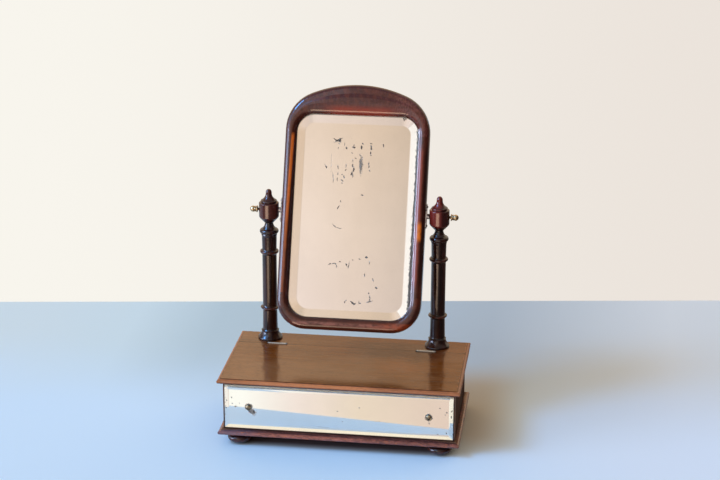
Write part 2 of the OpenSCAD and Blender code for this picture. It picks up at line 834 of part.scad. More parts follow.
// Small blocks that hold the glass against the lip, between it and the backboard
block_l = 30;
block_w = 8;
module glass_blocks() {
    depth = glass_back_w - back_w;
    side_x = sight_hw + rebate - block_w;
    module block(l, w) translate([-l / 2, 0]) square([l, w]);
    color(pine) in_mirror() mirror_slab(back_w, back_w + depth) {
        for (sx = [-1, 1]) {
            for (z = [stile_low * 0.5, stile_top * 0.6]) {
                translate([sx * (side_x + block_w / 2), z]) square([block_w, block_l], center = true);
            }
            translate([sx * sight_hw * 0.4, sight_top + rebate - block_w]) block(block_l, block_w);
            translate([sx * sight_hw * 0.4, sight_low - rebate]) block(block_l, block_w);
        }
    }
}

module backboard() {
    color(pine) in_mirror() difference() {
        mirror_slab(back_w - backboard_t, back_w) sight_outline(rebate + backboard_lap);
        for (sx = [-1, 1]) at_backboard_screws(sx) {
            countersunk_hole(2 * backboard_shank_r, backboard_shank_r, backboard_screw_l);
        }
    }
}

module backboard_screws() {
    color(brass) in_mirror() for (sx = [-1, 1]) at_backboard_screws(sx) {
        countersunk_screw(2 * backboard_shank_r, backboard_shank_r, backboard_screw_l);
    }
}

// A plate on the frame's edge, with the threaded boss that the thumbscrew enters
module pivot_plate(sx) {
    boss_l = post_gap - seat_gap;
    end_z = (plate_l - plate_w) / 2;
    color(brass) in_mirror() difference() {
        translate([sx * frame_hw, 0, 0]) rotate([0, sx * 90, 0]) {
            linear_extrude(plate_t) {
                square([plate_l - plate_w, plate_w], center = true);
                for (sz = [-1, 1]) translate([sz * end_z, 0]) circle(d = plate_w);
            }
            cylinder(h = boss_l, r = boss_r);
        }
        translate([sx * frame_hw, 0, 0]) rotate([0, 90, 0]) {
            cylinder(h = 4 * boss_l, r = rod_r + fit_gap, center = true);
        }
        at_plate_screws(sx) translate([0, 0, -plate_screw_l]) {
            cylinder(h = plate_screw_l, r = plate_shank_r);
        }
    }
}

module left_pivot_plate() pivot_plate(-1);

module right_pivot_plate() pivot_plate(1);

module pivot_plate_screws() {
    color(brass) in_mirror() for (sx = [-1, 1]) {
        at_plate_screws(sx) round_head_screw(2.2, 1.5, plate_shank_r, plate_screw_l);
    }
}

// A turned knob on a rod that passes through the post into the frame
module thumbscrew(sx) {
    flange_x = drum_r + rod_gap;
    rod_in = post_x - frame_hw + rod_depth;
    ball_r = knob_r * 0.9;
    ball_c = knob_l - ball_r;
    waist_r = knob_r * 0.7;
    outline = concat(
        [[0, -0.5], [rod_r, -0.5], [rod_r, 0], [knob_r - 0.3, 0]],
        [[knob_r, 0.3], [knob_r, 1.3], [knob_r - 0.3, 1.6]],
        [[waist_r, 1.8], [waist_r, 2.5], [knob_r * 0.82, 2.8], [knob_r * 0.86, 3.4], [knob_r * 0.8, 3.9]],
        [[waist_r, 4.3]],
        arc([0, ball_c], ball_r, -46, 90, 14)
    );
    color(brass) on_base() translate([sx * post_x, post_y, pivot_z]) rotate([0, sx * 90, 0]) {
        translate([0, 0, flange_x]) rotate_extrude() polygon([
            for (p = outline) [max(0, p[0]), p[1]]
        ]);
        translate([0, 0, -rod_in]) cylinder(h = rod_in + flange_x, r = rod_r);
    }
}

module left_thumbscrew() thumbscrew(-1);

module right_thumbscrew() thumbscrew(1);

plinth_board();
box_front();
box_back();
box_left_side();
box_right_side();
front_mirror_panel();
panel_cup_washers();
panel_screws();
plinth_screws();
foot_front_left();
foot_front_right();
foot_rear_left();
foot_rear_right();
rear_top_strip();
left_glue_block();
right_glue_block();
left_post();
right_post();
left_hinge_fixed_leaf();
right_hinge_fixed_leaf();
left_hinge_pin();
right_hinge_pin();
hinge_fixed_screws();
lid();
left_hinge_moving_leaf();
right_hinge_moving_leaf();
hinge_moving_screws();
left_stile();
right_stile();
crest_rail();
bottom_rail();
mirror_glass();
glass_blocks();
backboard();
backboard_screws();
left_pivot_plate();
right_pivot_plate();
pivot_plate_screws();
left_thumbscrew();
right_thumbscrew();
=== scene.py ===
"""An old dressing table mirror, finished for its portrait.

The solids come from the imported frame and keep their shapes. This script gives them wood,
brass and silvered glass, pale ground to stand on, soft light and the camera.
Places on the object are in millimetres, as the solids are drawn. The ground, the camera and
the silver films are in metres.
"""

import json
import math

import bmesh
import bpy
from mathutils import Matrix, Vector


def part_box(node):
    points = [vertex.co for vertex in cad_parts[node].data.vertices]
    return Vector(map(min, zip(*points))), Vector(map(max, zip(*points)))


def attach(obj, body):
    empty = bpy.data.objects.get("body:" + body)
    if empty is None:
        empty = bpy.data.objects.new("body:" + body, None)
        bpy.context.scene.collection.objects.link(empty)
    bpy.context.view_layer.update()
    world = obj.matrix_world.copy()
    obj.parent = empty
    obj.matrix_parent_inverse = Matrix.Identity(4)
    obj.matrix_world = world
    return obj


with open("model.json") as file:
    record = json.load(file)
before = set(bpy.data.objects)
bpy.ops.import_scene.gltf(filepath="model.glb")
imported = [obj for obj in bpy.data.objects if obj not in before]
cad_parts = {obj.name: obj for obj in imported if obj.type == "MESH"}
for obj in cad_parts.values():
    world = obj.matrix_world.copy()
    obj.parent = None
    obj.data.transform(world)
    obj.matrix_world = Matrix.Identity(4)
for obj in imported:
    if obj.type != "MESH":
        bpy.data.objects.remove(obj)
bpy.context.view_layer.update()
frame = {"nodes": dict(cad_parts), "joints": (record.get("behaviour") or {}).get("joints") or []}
nodes = frame["nodes"]
scene = bpy.context.scene

MM = 1000


def extent(name):
    """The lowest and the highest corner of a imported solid, in millimetres."""
    low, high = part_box(name)
    return low * MM, high * MM


def pivot(name):
    """The point that a joint turns about, in millimetres."""
    place = next(joint["pos_m"] for joint in frame["joints"] if joint["name"] == name)
    return [value * MM for value in place]


# Where the parts lie
LID_HALF = extent("lid")[1].x
LID_TOP = extent("lid")[1].z
LID_FRONT = extent("lid")[0].y
LID_BACK = extent("rear_top_strip")[1].y
PLINTH_TOP = extent("plinth_board")[1].z
CASE_HALF = extent("box_right_side")[1].x
CASE_TOP = extent("box_front")[1].z
CASE_FRONT = extent("box_front")[0].y
CASE_BACK = extent("box_back")[1].y
PANEL_LOW, PANEL_HIGH = extent("front_mirror_panel")
PANEL_Z = (PANEL_LOW.z + PANEL_HIGH.z) / 2
KNOB_FACE = extent("right_thumbscrew")[1].x
HINGE_Y = pivot("lid_hinge")[1]
HINGE_ENDS = extent("right_hinge_pin")[0].x, extent("right_hinge_pin")[1].x
POST_X, POST_Y, PIVOT_Z = pivot("right_thumbscrew_turn")
LEAN = math.radians(22)

# How round the moulded edges of the lid and of the plinth board are
LID_ROUND = 3.55
PLINTH_ROUND = 4.1

# Heights on the turned posts, each from its start to its end
BELL_NECK = (120.4, 122.4)
LOWER_RING = (154.6, 159.4)
UPPER_RING = (245.2, 250.8)
WAIST = (291.5, 296)
DRUM_LOW = 300
DRUM_GROOVE = (327.2, 328)
FINIAL_GROOVE = (330.2, 331)
TIP = 340

# On the mirror, across and up from its pivots: the crown of the moulding all round the glass,
# the joints between stiles and rails, and the edges of the silver that shows
CROWN_HALF = 101
CROWN_LOW = -170
CROWN_HIGH = 157
JOINT_LOW = -118
JOINT_HIGH = 112
SILVER_LEFT = -96.6
SILVER_RIGHT = 92.2
SILVER_TOP = 151.3


def srgb(red, green, blue):
    """A picture colour, 0 to 255, as the linear colour that a shader takes."""

    def linear(value):
        value /= 255
        return value / 12.92 if value <= 0.04045 else ((value + 0.055) / 1.055) ** 2.4

    return (linear(red), linear(green), linear(blue), 1)


def dimmed(tone, share):
    """The same tone with all its light taken down to a share."""
    return tuple(value * share for value in tone[:3]) + (1,)


class Graph:
    """The nodes of one material or world, with short ways to add the usual ones."""

    def __init__(self, owner):
        self.owner = owner
        owner.use_nodes = True
        self.tree = owner.node_tree
        self.tree.nodes.clear()

    def put(self, socket, value):
        """Links a socket to another one, or sets it to a plain value."""
        if isinstance(value, bpy.types.NodeSocket):
            self.tree.links.new(value, socket)
        elif value is not None:
            socket.default_value = value

    def add(self, kind, *given, **settings):
        """A new node with its settings, its first inputs given in order."""
        node = self.tree.nodes.new(kind)
        for key, value in settings.items():
            setattr(node, key, value)
        for socket, value in zip(node.inputs, given):
            self.put(socket, value)
        return node

    def math(self, operation, a, b=None, clamp=False):
        return self.add("ShaderNodeMath", a, b, operation=operation, use_clamp=clamp).outputs[0]

    def chain(self, operation, values):
        """The same operation over all the values, from the first to the last."""
        total = values[0]
        for value in values[1:]:
            total = self.math(operation, total, value)
        return total

    def plus(self, *values):
        return self.chain("ADD", values)

    def times(self, *values):
        return self.chain("MULTIPLY", values)

    def largest(self, *values):
        return self.chain("MAXIMUM", values)

    def smallest(self, *values):
        return self.chain("MINIMUM", values)

    def minus(self, a, b):
        return self.math("SUBTRACT", a, b)

    def over(self, a, b):
        return self.math("DIVIDE", a, b)

    def absolute(self, value):
        return self.math("ABSOLUTE", value)

    def vector(self, operation, a, b=None, scale=None):
        node = self.add("ShaderNodeVectorMath", a, b, None, scale, operation=operation)
        flat = operation in ("DOT_PRODUCT", "LENGTH")
        return node.outputs["Value" if flat else "Vector"]

    def split(self, vector):
        return self.add("ShaderNodeSeparateXYZ", vector).outputs[:3]

    def join(self, x, y, z):
        return self.add("ShaderNodeCombineXYZ", x, y, z).outputs[0]

    def noise(self, vector, detail=2, roughness=0.5):
        """Soft lumps, each about one unit across."""
        return self.add("ShaderNodeTexNoise", vector, None, 1, detail, roughness).outputs["Fac"]

    def pattern(self, place, lengths, seed=(0, 0, 0), detail=2, roughness=0.5):
        """Soft lumps of the given lengths."""
        return self.noise(self.stretched(place, lengths, seed), detail, roughness)

    def step(self, value, start, end, low=0, high=1):
        """Goes smoothly from low to high while value goes from start to end."""
        given = (value, start, end, low, high)
        return self.add("ShaderNodeMapRange", *given, interpolation_type="SMOOTHSTEP").outputs[0]

    def band(self, value, start, end, soft):
        """One between start and end, falling to nothing over soft on each side."""
        rise = self.step(value, start - soft, start + soft)
        fall = self.step(value, end - soft, end + soft, 1, 0)
        return self.times(rise, fall)

    def mix(self, factor, a, b, blend="MIX"):
        node = self.add("ShaderNodeMix", data_type="RGBA", blend_type=blend)
        self.put(node.inputs[0], factor)
        self.put(node.inputs[6], a)
        self.put(node.inputs[7], b)
        return node.outputs[2]

    def ramp(self, value, stops):
        """A colour that follows the value through stops of place and colour."""
        node = self.add("ShaderNodeValToRGB", value)
        elements = node.color_ramp.elements
        while len(elements) < len(stops):
            elements.new(0.5)
        for element, (position, colour) in zip(elements, stops):
            element.position = position
            element.color = colour
        return node.outputs["Color"]

    def stretched(self, place, lengths, seed=(0, 0, 0)):
        """The place measured in the given lengths, so that a pattern is drawn out along them."""
        scaled = self.vector("MULTIPLY", place, tuple(1 / length for length in lengths))
        return self.vector("ADD", scaled, seed)

    def bump(self, height, distance):
        node = self.add("ShaderNodeBump", 1, distance)
        self.put(node.inputs["Height"], height)
        return node.outputs["Normal"]

    def surface(self, shader):
        self.add("ShaderNodeOutputMaterial", shader)

    def principled(self, **values):
        """A principled surface. An underline in a name stands for a space."""
        node = self.add("ShaderNodeBsdfPrincipled")
        for key, value in values.items():
            self.put(node.inputs[key.replace("_", " ")], value)
        self.surface(node.outputs[0])
        return node


def new_graph(name):
    return Graph(bpy.data.materials.new(name))


def whole(g):
    """The place in millimetres."""
    place = g.add("ShaderNodeTexCoord").outputs["Object"]
    return g.vector("SCALE", place, scale=MM)


def on_mirror(g):
    """The place on the leaning mirror: across, up the glass, and out of its face."""
    place = g.vector("SUBTRACT", whole(g), (0, POST_Y, PIVOT_Z))
    across = g.vector("DOT_PRODUCT", place, (1, 0, 0))
    up = g.vector("DOT_PRODUCT", place, (0, math.sin(LEAN), math.cos(LEAN)))
    out = g.vector("DOT_PRODUCT", place, (0, -math.cos(LEAN), math.sin(LEAN)))
    return g.join(across, up, out)


def swapped(g, place, order):
    """The place with its axes in another order, the first one along the grain."""
    parts = dict(zip("xyz", g.split(place)))
    return g.join(*(parts[axis] for axis in order))


# Wood


PLAIN_LOOK = {
    "ribbon": 0.55, "streaks": 0.3, "stain": 0.35, "pores": 0.5, "lengths": (166, 16, 16),
    "roughness": 0.3, "uneven": 0.12, "specular": 0.5, "coat": 0, "coat_roughness": 0.1, "relief": 0.00005,
}


def wood(name, tones, seed, place=whole, order="xyz", dress=None, **look):
    """Polished wood. dress adds what the board's own place brings: worn edges, grime, painted shade, painted
    light and painted glow.

    It takes the graph, the place and the colour, and gives back the colour, a mask of bare
    worn polish and a mask of dirt and painted shade.
    """
    look = {**PLAIN_LOOK, **look}
    g = new_graph(name)
    p = place(g)
    grain = swapped(g, p, order)
    shift = (seed * 1.37, seed * 2.11, seed * 0.73)

    along, across, through = look["lengths"]
    sway = g.pattern(grain, (along * 0.6, across * 2.4, through * 2.4), shift, detail=1)
    warped = g.vector("ADD", grain, g.join(0, g.times(g.minus(sway, 0.5), across * 1.6), 0))
    ribbon = g.pattern(warped, look["lengths"], shift, detail=3, roughness=0.55)
    streaks = g.pattern(warped, (along * 0.45, across * 0.1, through * 0.1), shift)
    stain = g.pattern(p, (38, 38, 38), shift, detail=3, roughness=0.6)
    hairs = g.pattern(warped, (6.5, 0.42, 0.42), shift, detail=1, roughness=0.6)
    pores = g.step(hairs, 0.6, 0.72)

    tone = 0.5
    for value, share in ((ribbon, "ribbon"), (streaks, "streaks"), (stain, "stain")):
        tone = g.plus(g.times(g.minus(value, 0.5), look[share] * 1.5), tone)
    dark, middle, light = tones
    colour = g.ramp(tone, [(0.28, dark), (0.5, middle), (0.72, light)])

    worn = dirt_and_shade = None
    if dress:
        colour, worn, dirt_and_shade = dress(g, p, colour)
    colour = g.mix(g.times(pores, look["pores"]), colour, dimmed(dark, 0.3))

    rough = g.times(g.minus(stain, 0.5), look["uneven"] * 2)
    rough = g.plus(rough, look["roughness"], g.times(pores, 0.12))
    if worn is not None:
        rough = g.plus(rough, g.times(worn, 0.12))
    if dirt_and_shade is not None:
        rough = g.plus(rough, g.times(dirt_and_shade, 0.3))
    rough = g.largest(rough, 0.06)

    height = g.minus(g.times(streaks, 0.35), g.times(pores, 0.8))
    shader = g.principled(
        Base_Color=colour,
        Roughness=rough,
        Specular_IOR_Level=look["specular"],
        Normal=g.bump(height, look["relief"]),
        Coat_Weight=look["coat"],
        Coat_Roughness=look["coat_roughness"],
    )
    if look["coat"]:
        # the polish lies smooth over the pores, with only slow waves in it
        waves = g.pattern(p, (22, 22, 22), shift, detail=1)
        g.put(shader.inputs["Coat Normal"], g.bump(waves, look["relief"] * 1.5))
    return g.owner


def edge_distance(g, p, front, back):
    """How far a place on a board is from its moulded edges."""
    x, y, _ = g.split(p)
    distances = [g.minus(LID_HALF, g.absolute(x))]
    if front is not None:
        distances.append(g.minus(y, front))
    if back is not None:
        distances.append(g.minus(back, y))
    return g.smallest(*distances)


def moulded_edge(g, p, colour, front, back, top, round_mm, bead_colour, quirk_colour, under_colour):
    """A rounded, rubbed edge with a dark line of painted shade where it meets the flat, and painted shade
    below.
    """
    distance = edge_distance(g, p, front, back)
    rub = g.pattern(p, (9, 9, 2.5), detail=3, roughness=0.65)
    bead = g.step(distance, round_mm + 0.5, round_mm - 0.6)
    rubbed = g.times(bead, g.step(rub, 0.33, 0.62))
    colour = g.mix(g.times(bead, 0.55), colour, bead_colour)
    colour = g.mix(g.times(rubbed, 0.55), colour, bead_colour)
    x, _, z = g.split(p)
    # painted shade: a dark line in the groove between the rounded edge and the flat
    quirk = g.band(distance, round_mm + 0.2, round_mm + 1.4, 0.35)
    quirk = g.times(quirk, g.step(rub, 0.2, 0.45, 0.7, 1))
    quirk = g.times(quirk, g.step(x, LID_HALF - 4, LID_HALF - 10, 0.35, 1))
    colour = g.mix(quirk, colour, quirk_colour)
    arris = g.band(distance, round_mm + 1.6, round_mm + 2.3, 0.4)
    colour = g.mix(g.times(arris, g.step(rub, 0.45, 0.6, 0, 0.5)), colour, bead_colour)
    # painted shade on the underside of the rounded edge
    low = g.times(g.step(z, top - round_mm - 0.6, top - 2 * round_mm + 0.6), bead)
    colour = g.mix(g.times(low, 0.85), colour, under_colour)
    # rubbed most to the left of the middle, browner towards both ends
    ends = g.times(bead, g.step(g.absolute(g.plus(x, 40)), 60, 125))
    colour = g.mix(g.times(ends, 0.3), colour, under_colour)
    right_end = g.step(x, LID_HALF - 5, LID_HALF - 1.5)
    colour = g.mix(g.times(right_end, 0.55), colour, srgb(138, 76, 38))
    return colour, rubbed, quirk


def scratches(g, p, angle, spacing, length, seed):
    """Thin scattered lines at an angle, in the plane of x and y."""
    turned = g.add("ShaderNodeMapping", p, None, (0, 0, angle), vector_type="POINT")
    drawn = g.stretched(turned.outputs[0], (length, spacing, 60), (seed, seed * 0.7, 0))
    return g.step(g.noise(drawn, detail=0), 0.7, 0.74)


def lid_dress(front, back):
    """The top of the box, which is the lid in front of the strip that the posts stand on."""

    def dress(g, p, colour):
        x, y, _ = g.split(p)
        # painted shadow and painted reflection: a darker band lies across the right half, and a painted
        # orange reflection of the right post below it
        cloud = g.pattern(p, (60, 26, 60), detail=3, roughness=0.55)
        across = g.band(x, 10, 134, 26)
        sway = g.plus(y, g.times(g.minus(cloud, 0.5), 50))
        painted_shadow_band = g.times(across, g.band(sway, -12, 46, 13))
        colour = g.mix(g.times(painted_shadow_band, 0.85), colour, srgb(62, 26, 7))
        pale = g.times(g.band(x, -165, 40, 32), g.step(sway, -18, -74))
        colour = g.mix(g.times(pale, 0.52), colour, srgb(156, 100, 56))
        bloom_and_reflection = g.join(g.over(g.minus(x, 85), 48), g.over(g.plus(sway, 44), 26), 0)
        bloom_and_reflection = g.step(g.vector("LENGTH", bloom_and_reflection), 1.1, 0.2)
        colour = g.mix(g.times(bloom_and_reflection, 0.4), colour, srgb(150, 76, 28))
        # a paler, greyer haze where the polish has gone dull
        haze = g.pattern(p, (85, 60, 60), (3.1, 0.4, 0))
        colour = g.mix(g.step(haze, 0.48, 0.68, 0, 0.22), colour, srgb(140, 98, 66))
        # handling marks: fine scratches both ways and a few small dents
        fine = g.largest(scratches(g, p, 0.35, 0.9, 55, 4), scratches(g, p, -0.22, 1.1, 70, 9))
        colour = g.mix(g.times(fine, 0.22), colour, srgb(168, 124, 84))
        dents = g.pattern(p, (5, 4, 4), (7.7, 1.3, 0), detail=1)
        colour = g.mix(g.step(dents, 0.735, 0.77, 0, 0.5), colour, srgb(66, 36, 20))
        # dirt in the joint between lid and strip, most at the left end
        joint = g.step(g.absolute(g.minus(y, HINGE_Y)), 1.3, 0.5)
        grime = g.pattern(p, (16, 4, 4), (0, 3, 9))
        grime = g.times(g.step(grime, 0.3, 0.6, 0.35, 1), g.step(x, 60, -100, 0.55, 1))
        colour = g.mix(g.times(joint, grime), colour, srgb(38, 20, 12))
        bead, quirk, under = srgb(228, 134, 80), srgb(62, 30, 20), srgb(72, 36, 26)
        return moulded_edge(g, p, colour, front, back, LID_TOP, LID_ROUND, bead, quirk, under)

    return dress


def plinth_dress(g, p, colour):
    """The board under the box: rubbed and chipped along its rounded edge, with a painted greyish reflection
    at the left.
    """
    bead, quirk, under = srgb(196, 108, 84), srgb(112, 66, 58), srgb(62, 28, 30)
    edge = (LID_FRONT, LID_BACK, PLINTH_TOP, PLINTH_ROUND)
    colour, worn, dirt_and_shade = moulded_edge(g, p, colour, *edge, bead, quirk, under)
    x, y, _ = g.split(p)
    blotch = g.pattern(p, (8, 4, 2.4), (6, 1, 4), detail=3, roughness=0.7)
    dark = g.plus(g.step(blotch, 0.46, 0.58, 0, 0.5), g.step(x, 20, 90, 0, 0.2))
    colour = g.mix(dark, colour, under)
    # painted reflection: a greyish lavender sheen on the front at the left end
    dull_and_sheen = g.times(g.step(x, -100, -160), g.step(y, -100, -110, 0, 0.5))
    colour = g.mix(dull_and_sheen, colour, srgb(112, 98, 112))
    chips = g.step(g.pattern(p, (7, 3, 1.6), (1, 5, 2)), 0.6, 0.68)
    chips = g.times(chips, g.step(edge_distance(g, p, LID_FRONT, LID_BACK), 3.4, 2.4))
    colour = g.mix(g.times(chips, 0.8), colour, srgb(206, 106, 56))
    return colour, worn, dirt_and_shade


def case_dress(g, p, colour):
    """The walls: darker in smudges next to the boards above and below, and worn front corners."""
    x, y, z = g.split(p)
    low = g.step(z, PLINTH_TOP + 11, PLINTH_TOP)
    high = g.step(z, CASE_TOP - 10, CASE_TOP)
    smudge = g.pattern(p, (12, 12, 12), detail=3)
    dirt_and_shade = g.times(g.largest(low, high), g.step(smudge, 0.3, 0.6))
    colour = g.mix(g.times(dirt_and_shade, 0.55), colour, srgb(34, 18, 15))
    inward = g.minus(CASE_HALF, g.absolute(x))
    corner = g.largest(inward, g.minus(y, CASE_FRONT))
    worn = g.times(g.step(corner, 1.3, 0.2), g.step(smudge, 0.42, 0.6))
    colour = g.mix(g.times(worn, 0.5), colour, srgb(150, 84, 50))
    # a dark line on the front wall at each end of the panel
    gap = g.band(g.absolute(x), PANEL_HIGH.x - 0.8, PANEL_HIGH.x + 1, 0.5)
    gap = g.times(gap, g.step(y, CASE_FRONT + 1, CASE_FRONT + 0.5))
    colour = g.mix(g.times(gap, 0.8), colour, srgb(30, 17, 14))
    return colour, worn, dirt_and_shade


def post_dress(g, p, colour):
    """Turned work: dark in the hollows, rubbed red on the rings, the right drum redder."""
    x, y, z = g.split(p)
    radius = g.vector("LENGTH", g.join(g.minus(g.absolute(x), POST_X), g.minus(y, POST_Y), 0))
    rub = g.pattern(p, (5, 5, 3), detail=3, roughness=0.65)
    rings = g.largest(g.band(z, *LOWER_RING, 1), g.band(z, *UPPER_RING, 1))
    rings = g.times(rings, g.step(radius, 12, 13.4))
    drum = g.times(g.step(z, DRUM_LOW, DRUM_LOW + 4), g.step(radius, 13.2, 14.5))
    tip = g.step(z, TIP, TIP + 6)
    worn = g.times(g.largest(rings, drum, tip), g.step(rub, 0.36, 0.64))
    colour = g.mix(g.times(worn, 0.5), colour, srgb(112, 46, 30))
    head = g.step(z, DRUM_LOW - 1, DRUM_LOW + 6)
    colour = g.mix(g.times(head, 0.4), colour, srgb(92, 34, 24))
    red = g.times(g.step(x, -20, 20), head)
    colour = g.mix(g.times(red, 0.7), colour, srgb(122, 32, 22))
    # painted shade on the outer side of the right post's head
    painted_outer_shade = g.times(red, g.step(x, POST_X + 1, POST_X + 7))
    colour = g.mix(g.times(painted_outer_shade, 0.8), colour, srgb(34, 9, 7))
    # darker in the grooves and necks and where the post meets the lid
    grooves = g.largest(g.band(z, *DRUM_GROOVE, 0.4), g.band(z, *FINIAL_GROOVE, 0.5))
    necks = g.largest(g.band(z, *WAIST, 1.5), g.band(z, *BELL_NECK, 0.7))
    dirt_and_shade = g.times(g.largest(necks, grooves, g.step(z, LID_TOP + 1.6, LID_TOP + 0.2)), 0.7)
    colour = g.mix(dirt_and_shade, colour, srgb(18, 11, 10))
    return colour, worn, dirt_and_shade


def foot_dress(g, p, colour):
    """Bun feet: rubbed round the middle, with painted shade where they meet the ground and the board."""
    _, _, z = g.split(p)
    rub = g.pattern(p, (5, 5, 2.5), detail=3, roughness=0.65)
    worn = g.times(g.band(z, 5, 10.5, 1.5), g.step(rub, 0.42, 0.66))
    colour = g.mix(g.times(worn, 0.5), colour, srgb(124, 52, 34))
    # painted shade where the foot meets the ground and the board
    dirt_and_shade = g.largest(g.step(z, 2, 0.3), g.step(z, 14, 15.8))
    colour = g.mix(g.times(dirt_and_shade, 0.75), colour, srgb(24, 13, 12))
    return colour, worn, dirt_and_shade


def near_joint(g, v):
    """One along the stiles, falling away before the joints with the two rails."""
    below = g.step(v, JOINT_HIGH, JOINT_HIGH - 28)
    return g.times(below, g.step(v, JOINT_LOW, JOINT_LOW + 26))


def lip_dirt_and_shade(g, p):
    """Black dirt packed along the glass, all the way round, which also stands for painted shade in the recess
    beside the glass.
    """
    _, _, w = g.split(p)
    rub = g.pattern(p, (7, 7, 4), detail=3, roughness=0.65)
    return g.times(g.step(w, 8.4, 5.4), g.step(rub, 0.2, 0.5, 0.55, 1))


def in_opening(g, p):
    """One between the glass and the crown of the frame's moulding."""
    u, v, _ = g.split(p)
    side = g.step(g.absolute(u), CROWN_HALF, CROWN_HALF - 1)
    top = g.step(v, CROWN_HIGH, CROWN_HIGH - 2)
    return g.times(side, top, g.step(v, CROWN_LOW, CROWN_LOW + 1.5))


def frame_polish(g, p, colour):
    """What stiles and rails share: rubbed crown, dirt and painted shade along the glass, a dull back."""
    _, _, w = g.split(p)
    rub = g.pattern(p, (7, 11, 4), detail=3, roughness=0.65)
    crown = g.times(g.step(w, 13.4, 15), g.step(rub, 0.42, 0.62))
    colour = g.mix(g.times(crown, 0.3), colour, srgb(134, 62, 40))
    colour = g.mix(g.times(g.step(w, 5.8, 3.5), 0.4), colour, srgb(48, 24, 17))
    dirt_and_shade = g.times(lip_dirt_and_shade(g, p), in_opening(g, p))
    colour = g.mix(g.times(dirt_and_shade, 0.8), colour, srgb(24, 15, 13))
    return colour, crown, dirt_and_shade


def left_stile_dress(g, p, colour):
    """A painted orange glow along the slope towards the glass, and a thin line of painted shade beside the
    glass.
    """
    u, v, w = g.split(p)
    colour, worn, dirt_and_shade = frame_polish(g, p, colour)
    rub = g.pattern(p, (5, 14, 4), (1, 6, 0), detail=3, roughness=0.6)
    inward = g.minus(u, g.times(v, 0.02))
    # painted glow: orange light along the slope towards the glass
    painted_glow = g.times(g.band(inward, -101.3, -97.3, 0.8), g.step(w, 6.4, 9))
    painted_glow = g.times(painted_glow, g.step(v, 121, 110), g.step(v, -80, 60, 0.28, 1))
    painted_glow = g.times(painted_glow, g.step(rub, 0.2, 0.55, 0.7, 1))
    # painted shade: a thin dark line beside the glass
    inner = g.times(g.step(inward, -97, -95.8), near_joint(g, v))
    colour = g.mix(g.times(inner, 0.6), colour, srgb(44, 16, 7))
    colour = g.mix(painted_glow, colour, srgb(236, 112, 40))
    return colour, worn, dirt_and_shade


def right_stile_dress(g, p, colour):
    """Painted light on the red slope towards the glass, painted shade on the dark outer edge, and two places
    rubbed bare.
    """
    u, v, w = g.split(p)
    colour, worn, dirt_and_shade = frame_polish(g, p, colour)
    # painted shade on the outer edge, which faces away from the light
    edge = g.times(g.step(u, 103, 106.5), near_joint(g, v))
    colour = g.mix(g.times(edge, 0.75), colour, srgb(30, 10, 7))
    # painted light on the slope towards the glass, which faces the light
    painted_light_slope = g.times(g.band(u, 95, 102, 1.4), g.step(w, 8, 11), near_joint(g, v))
    colour = g.mix(g.times(painted_light_slope, 0.8), colour, srgb(150, 52, 32))
    # an orange patch below the pivot and a small chip near the foot
    rub = g.pattern(p, (3, 9, 3), (2, 1, 0), detail=3, roughness=0.6)
    spot = g.times(g.band(v, -38, -12, 5), g.band(u, 98.6, 104.6, 1.6))
    spot = g.times(spot, g.step(rub, 0.25, 0.5, 0.5, 1))
    colour = g.mix(g.times(spot, 0.95), colour, srgb(232, 112, 26))
    chip = g.times(g.band(v, -128.5, -125, 0.8), g.band(u, 101.5, 104.5, 0.7))
    colour = g.mix(chip, colour, srgb(232, 140, 74))
    return colour, worn, dirt_and_shade


def crest_dress(g, p, colour):
    """The wide field has bloomed to a mottled grey purple, with a painted red glow above the glass and
    painted light on the outer rim.
    """
    u, v, w = g.split(p)
    mottle = g.pattern(p, (1.7, 4.2, 2.2), detail=3, roughness=0.7)
    cloud = g.pattern(p, (26, 14, 14), (5, 2, 0))
    field = g.times(g.step(v, 152, 160), g.step(w, 10, 14))
    bloom_and_reflection = g.times(field, g.step(mottle, 0.45, 0.68))
    colour = g.mix(g.times(field, 0.6), colour, srgb(72, 25, 25))
    colour = g.mix(g.times(bloom_and_reflection, 0.34), colour, srgb(104, 60, 64))
    warm = g.times(field, g.step(cloud, 0.52, 0.66))
    colour = g.mix(g.times(warm, 0.3), colour, srgb(96, 34, 27))
    # painted glow: a red reflection low on the crest, above the glass
    near = g.plus(v, g.times(g.minus(cloud, 0.5), 7))
    painted_glow = g.times(g.step(near, 165, 155), g.band(u, -44, 52, 20))
    colour = g.mix(g.times(painted_glow, 0.8), colour, srgb(158, 44, 16))
    shoulder = g.times(g.step(u, 48, 66), g.step(w, 11, 14))
    shoulder = g.times(shoulder, g.step(mottle, 0.42, 0.6, 0.1, 0.6))
    colour = g.mix(shoulder, colour, srgb(136, 70, 60))
    # painted light on the rounded rim of the crest
    painted_rim_light = g.times(g.step(w, 12, 8.5), g.step(v, 158, 164))
    colour = g.mix(g.times(painted_rim_light, 0.5), colour, srgb(86, 48, 27))
    colour, _, dirt_and_shade = frame_polish(g, p, colour)
    return colour, bloom_and_reflection, dirt_and_shade


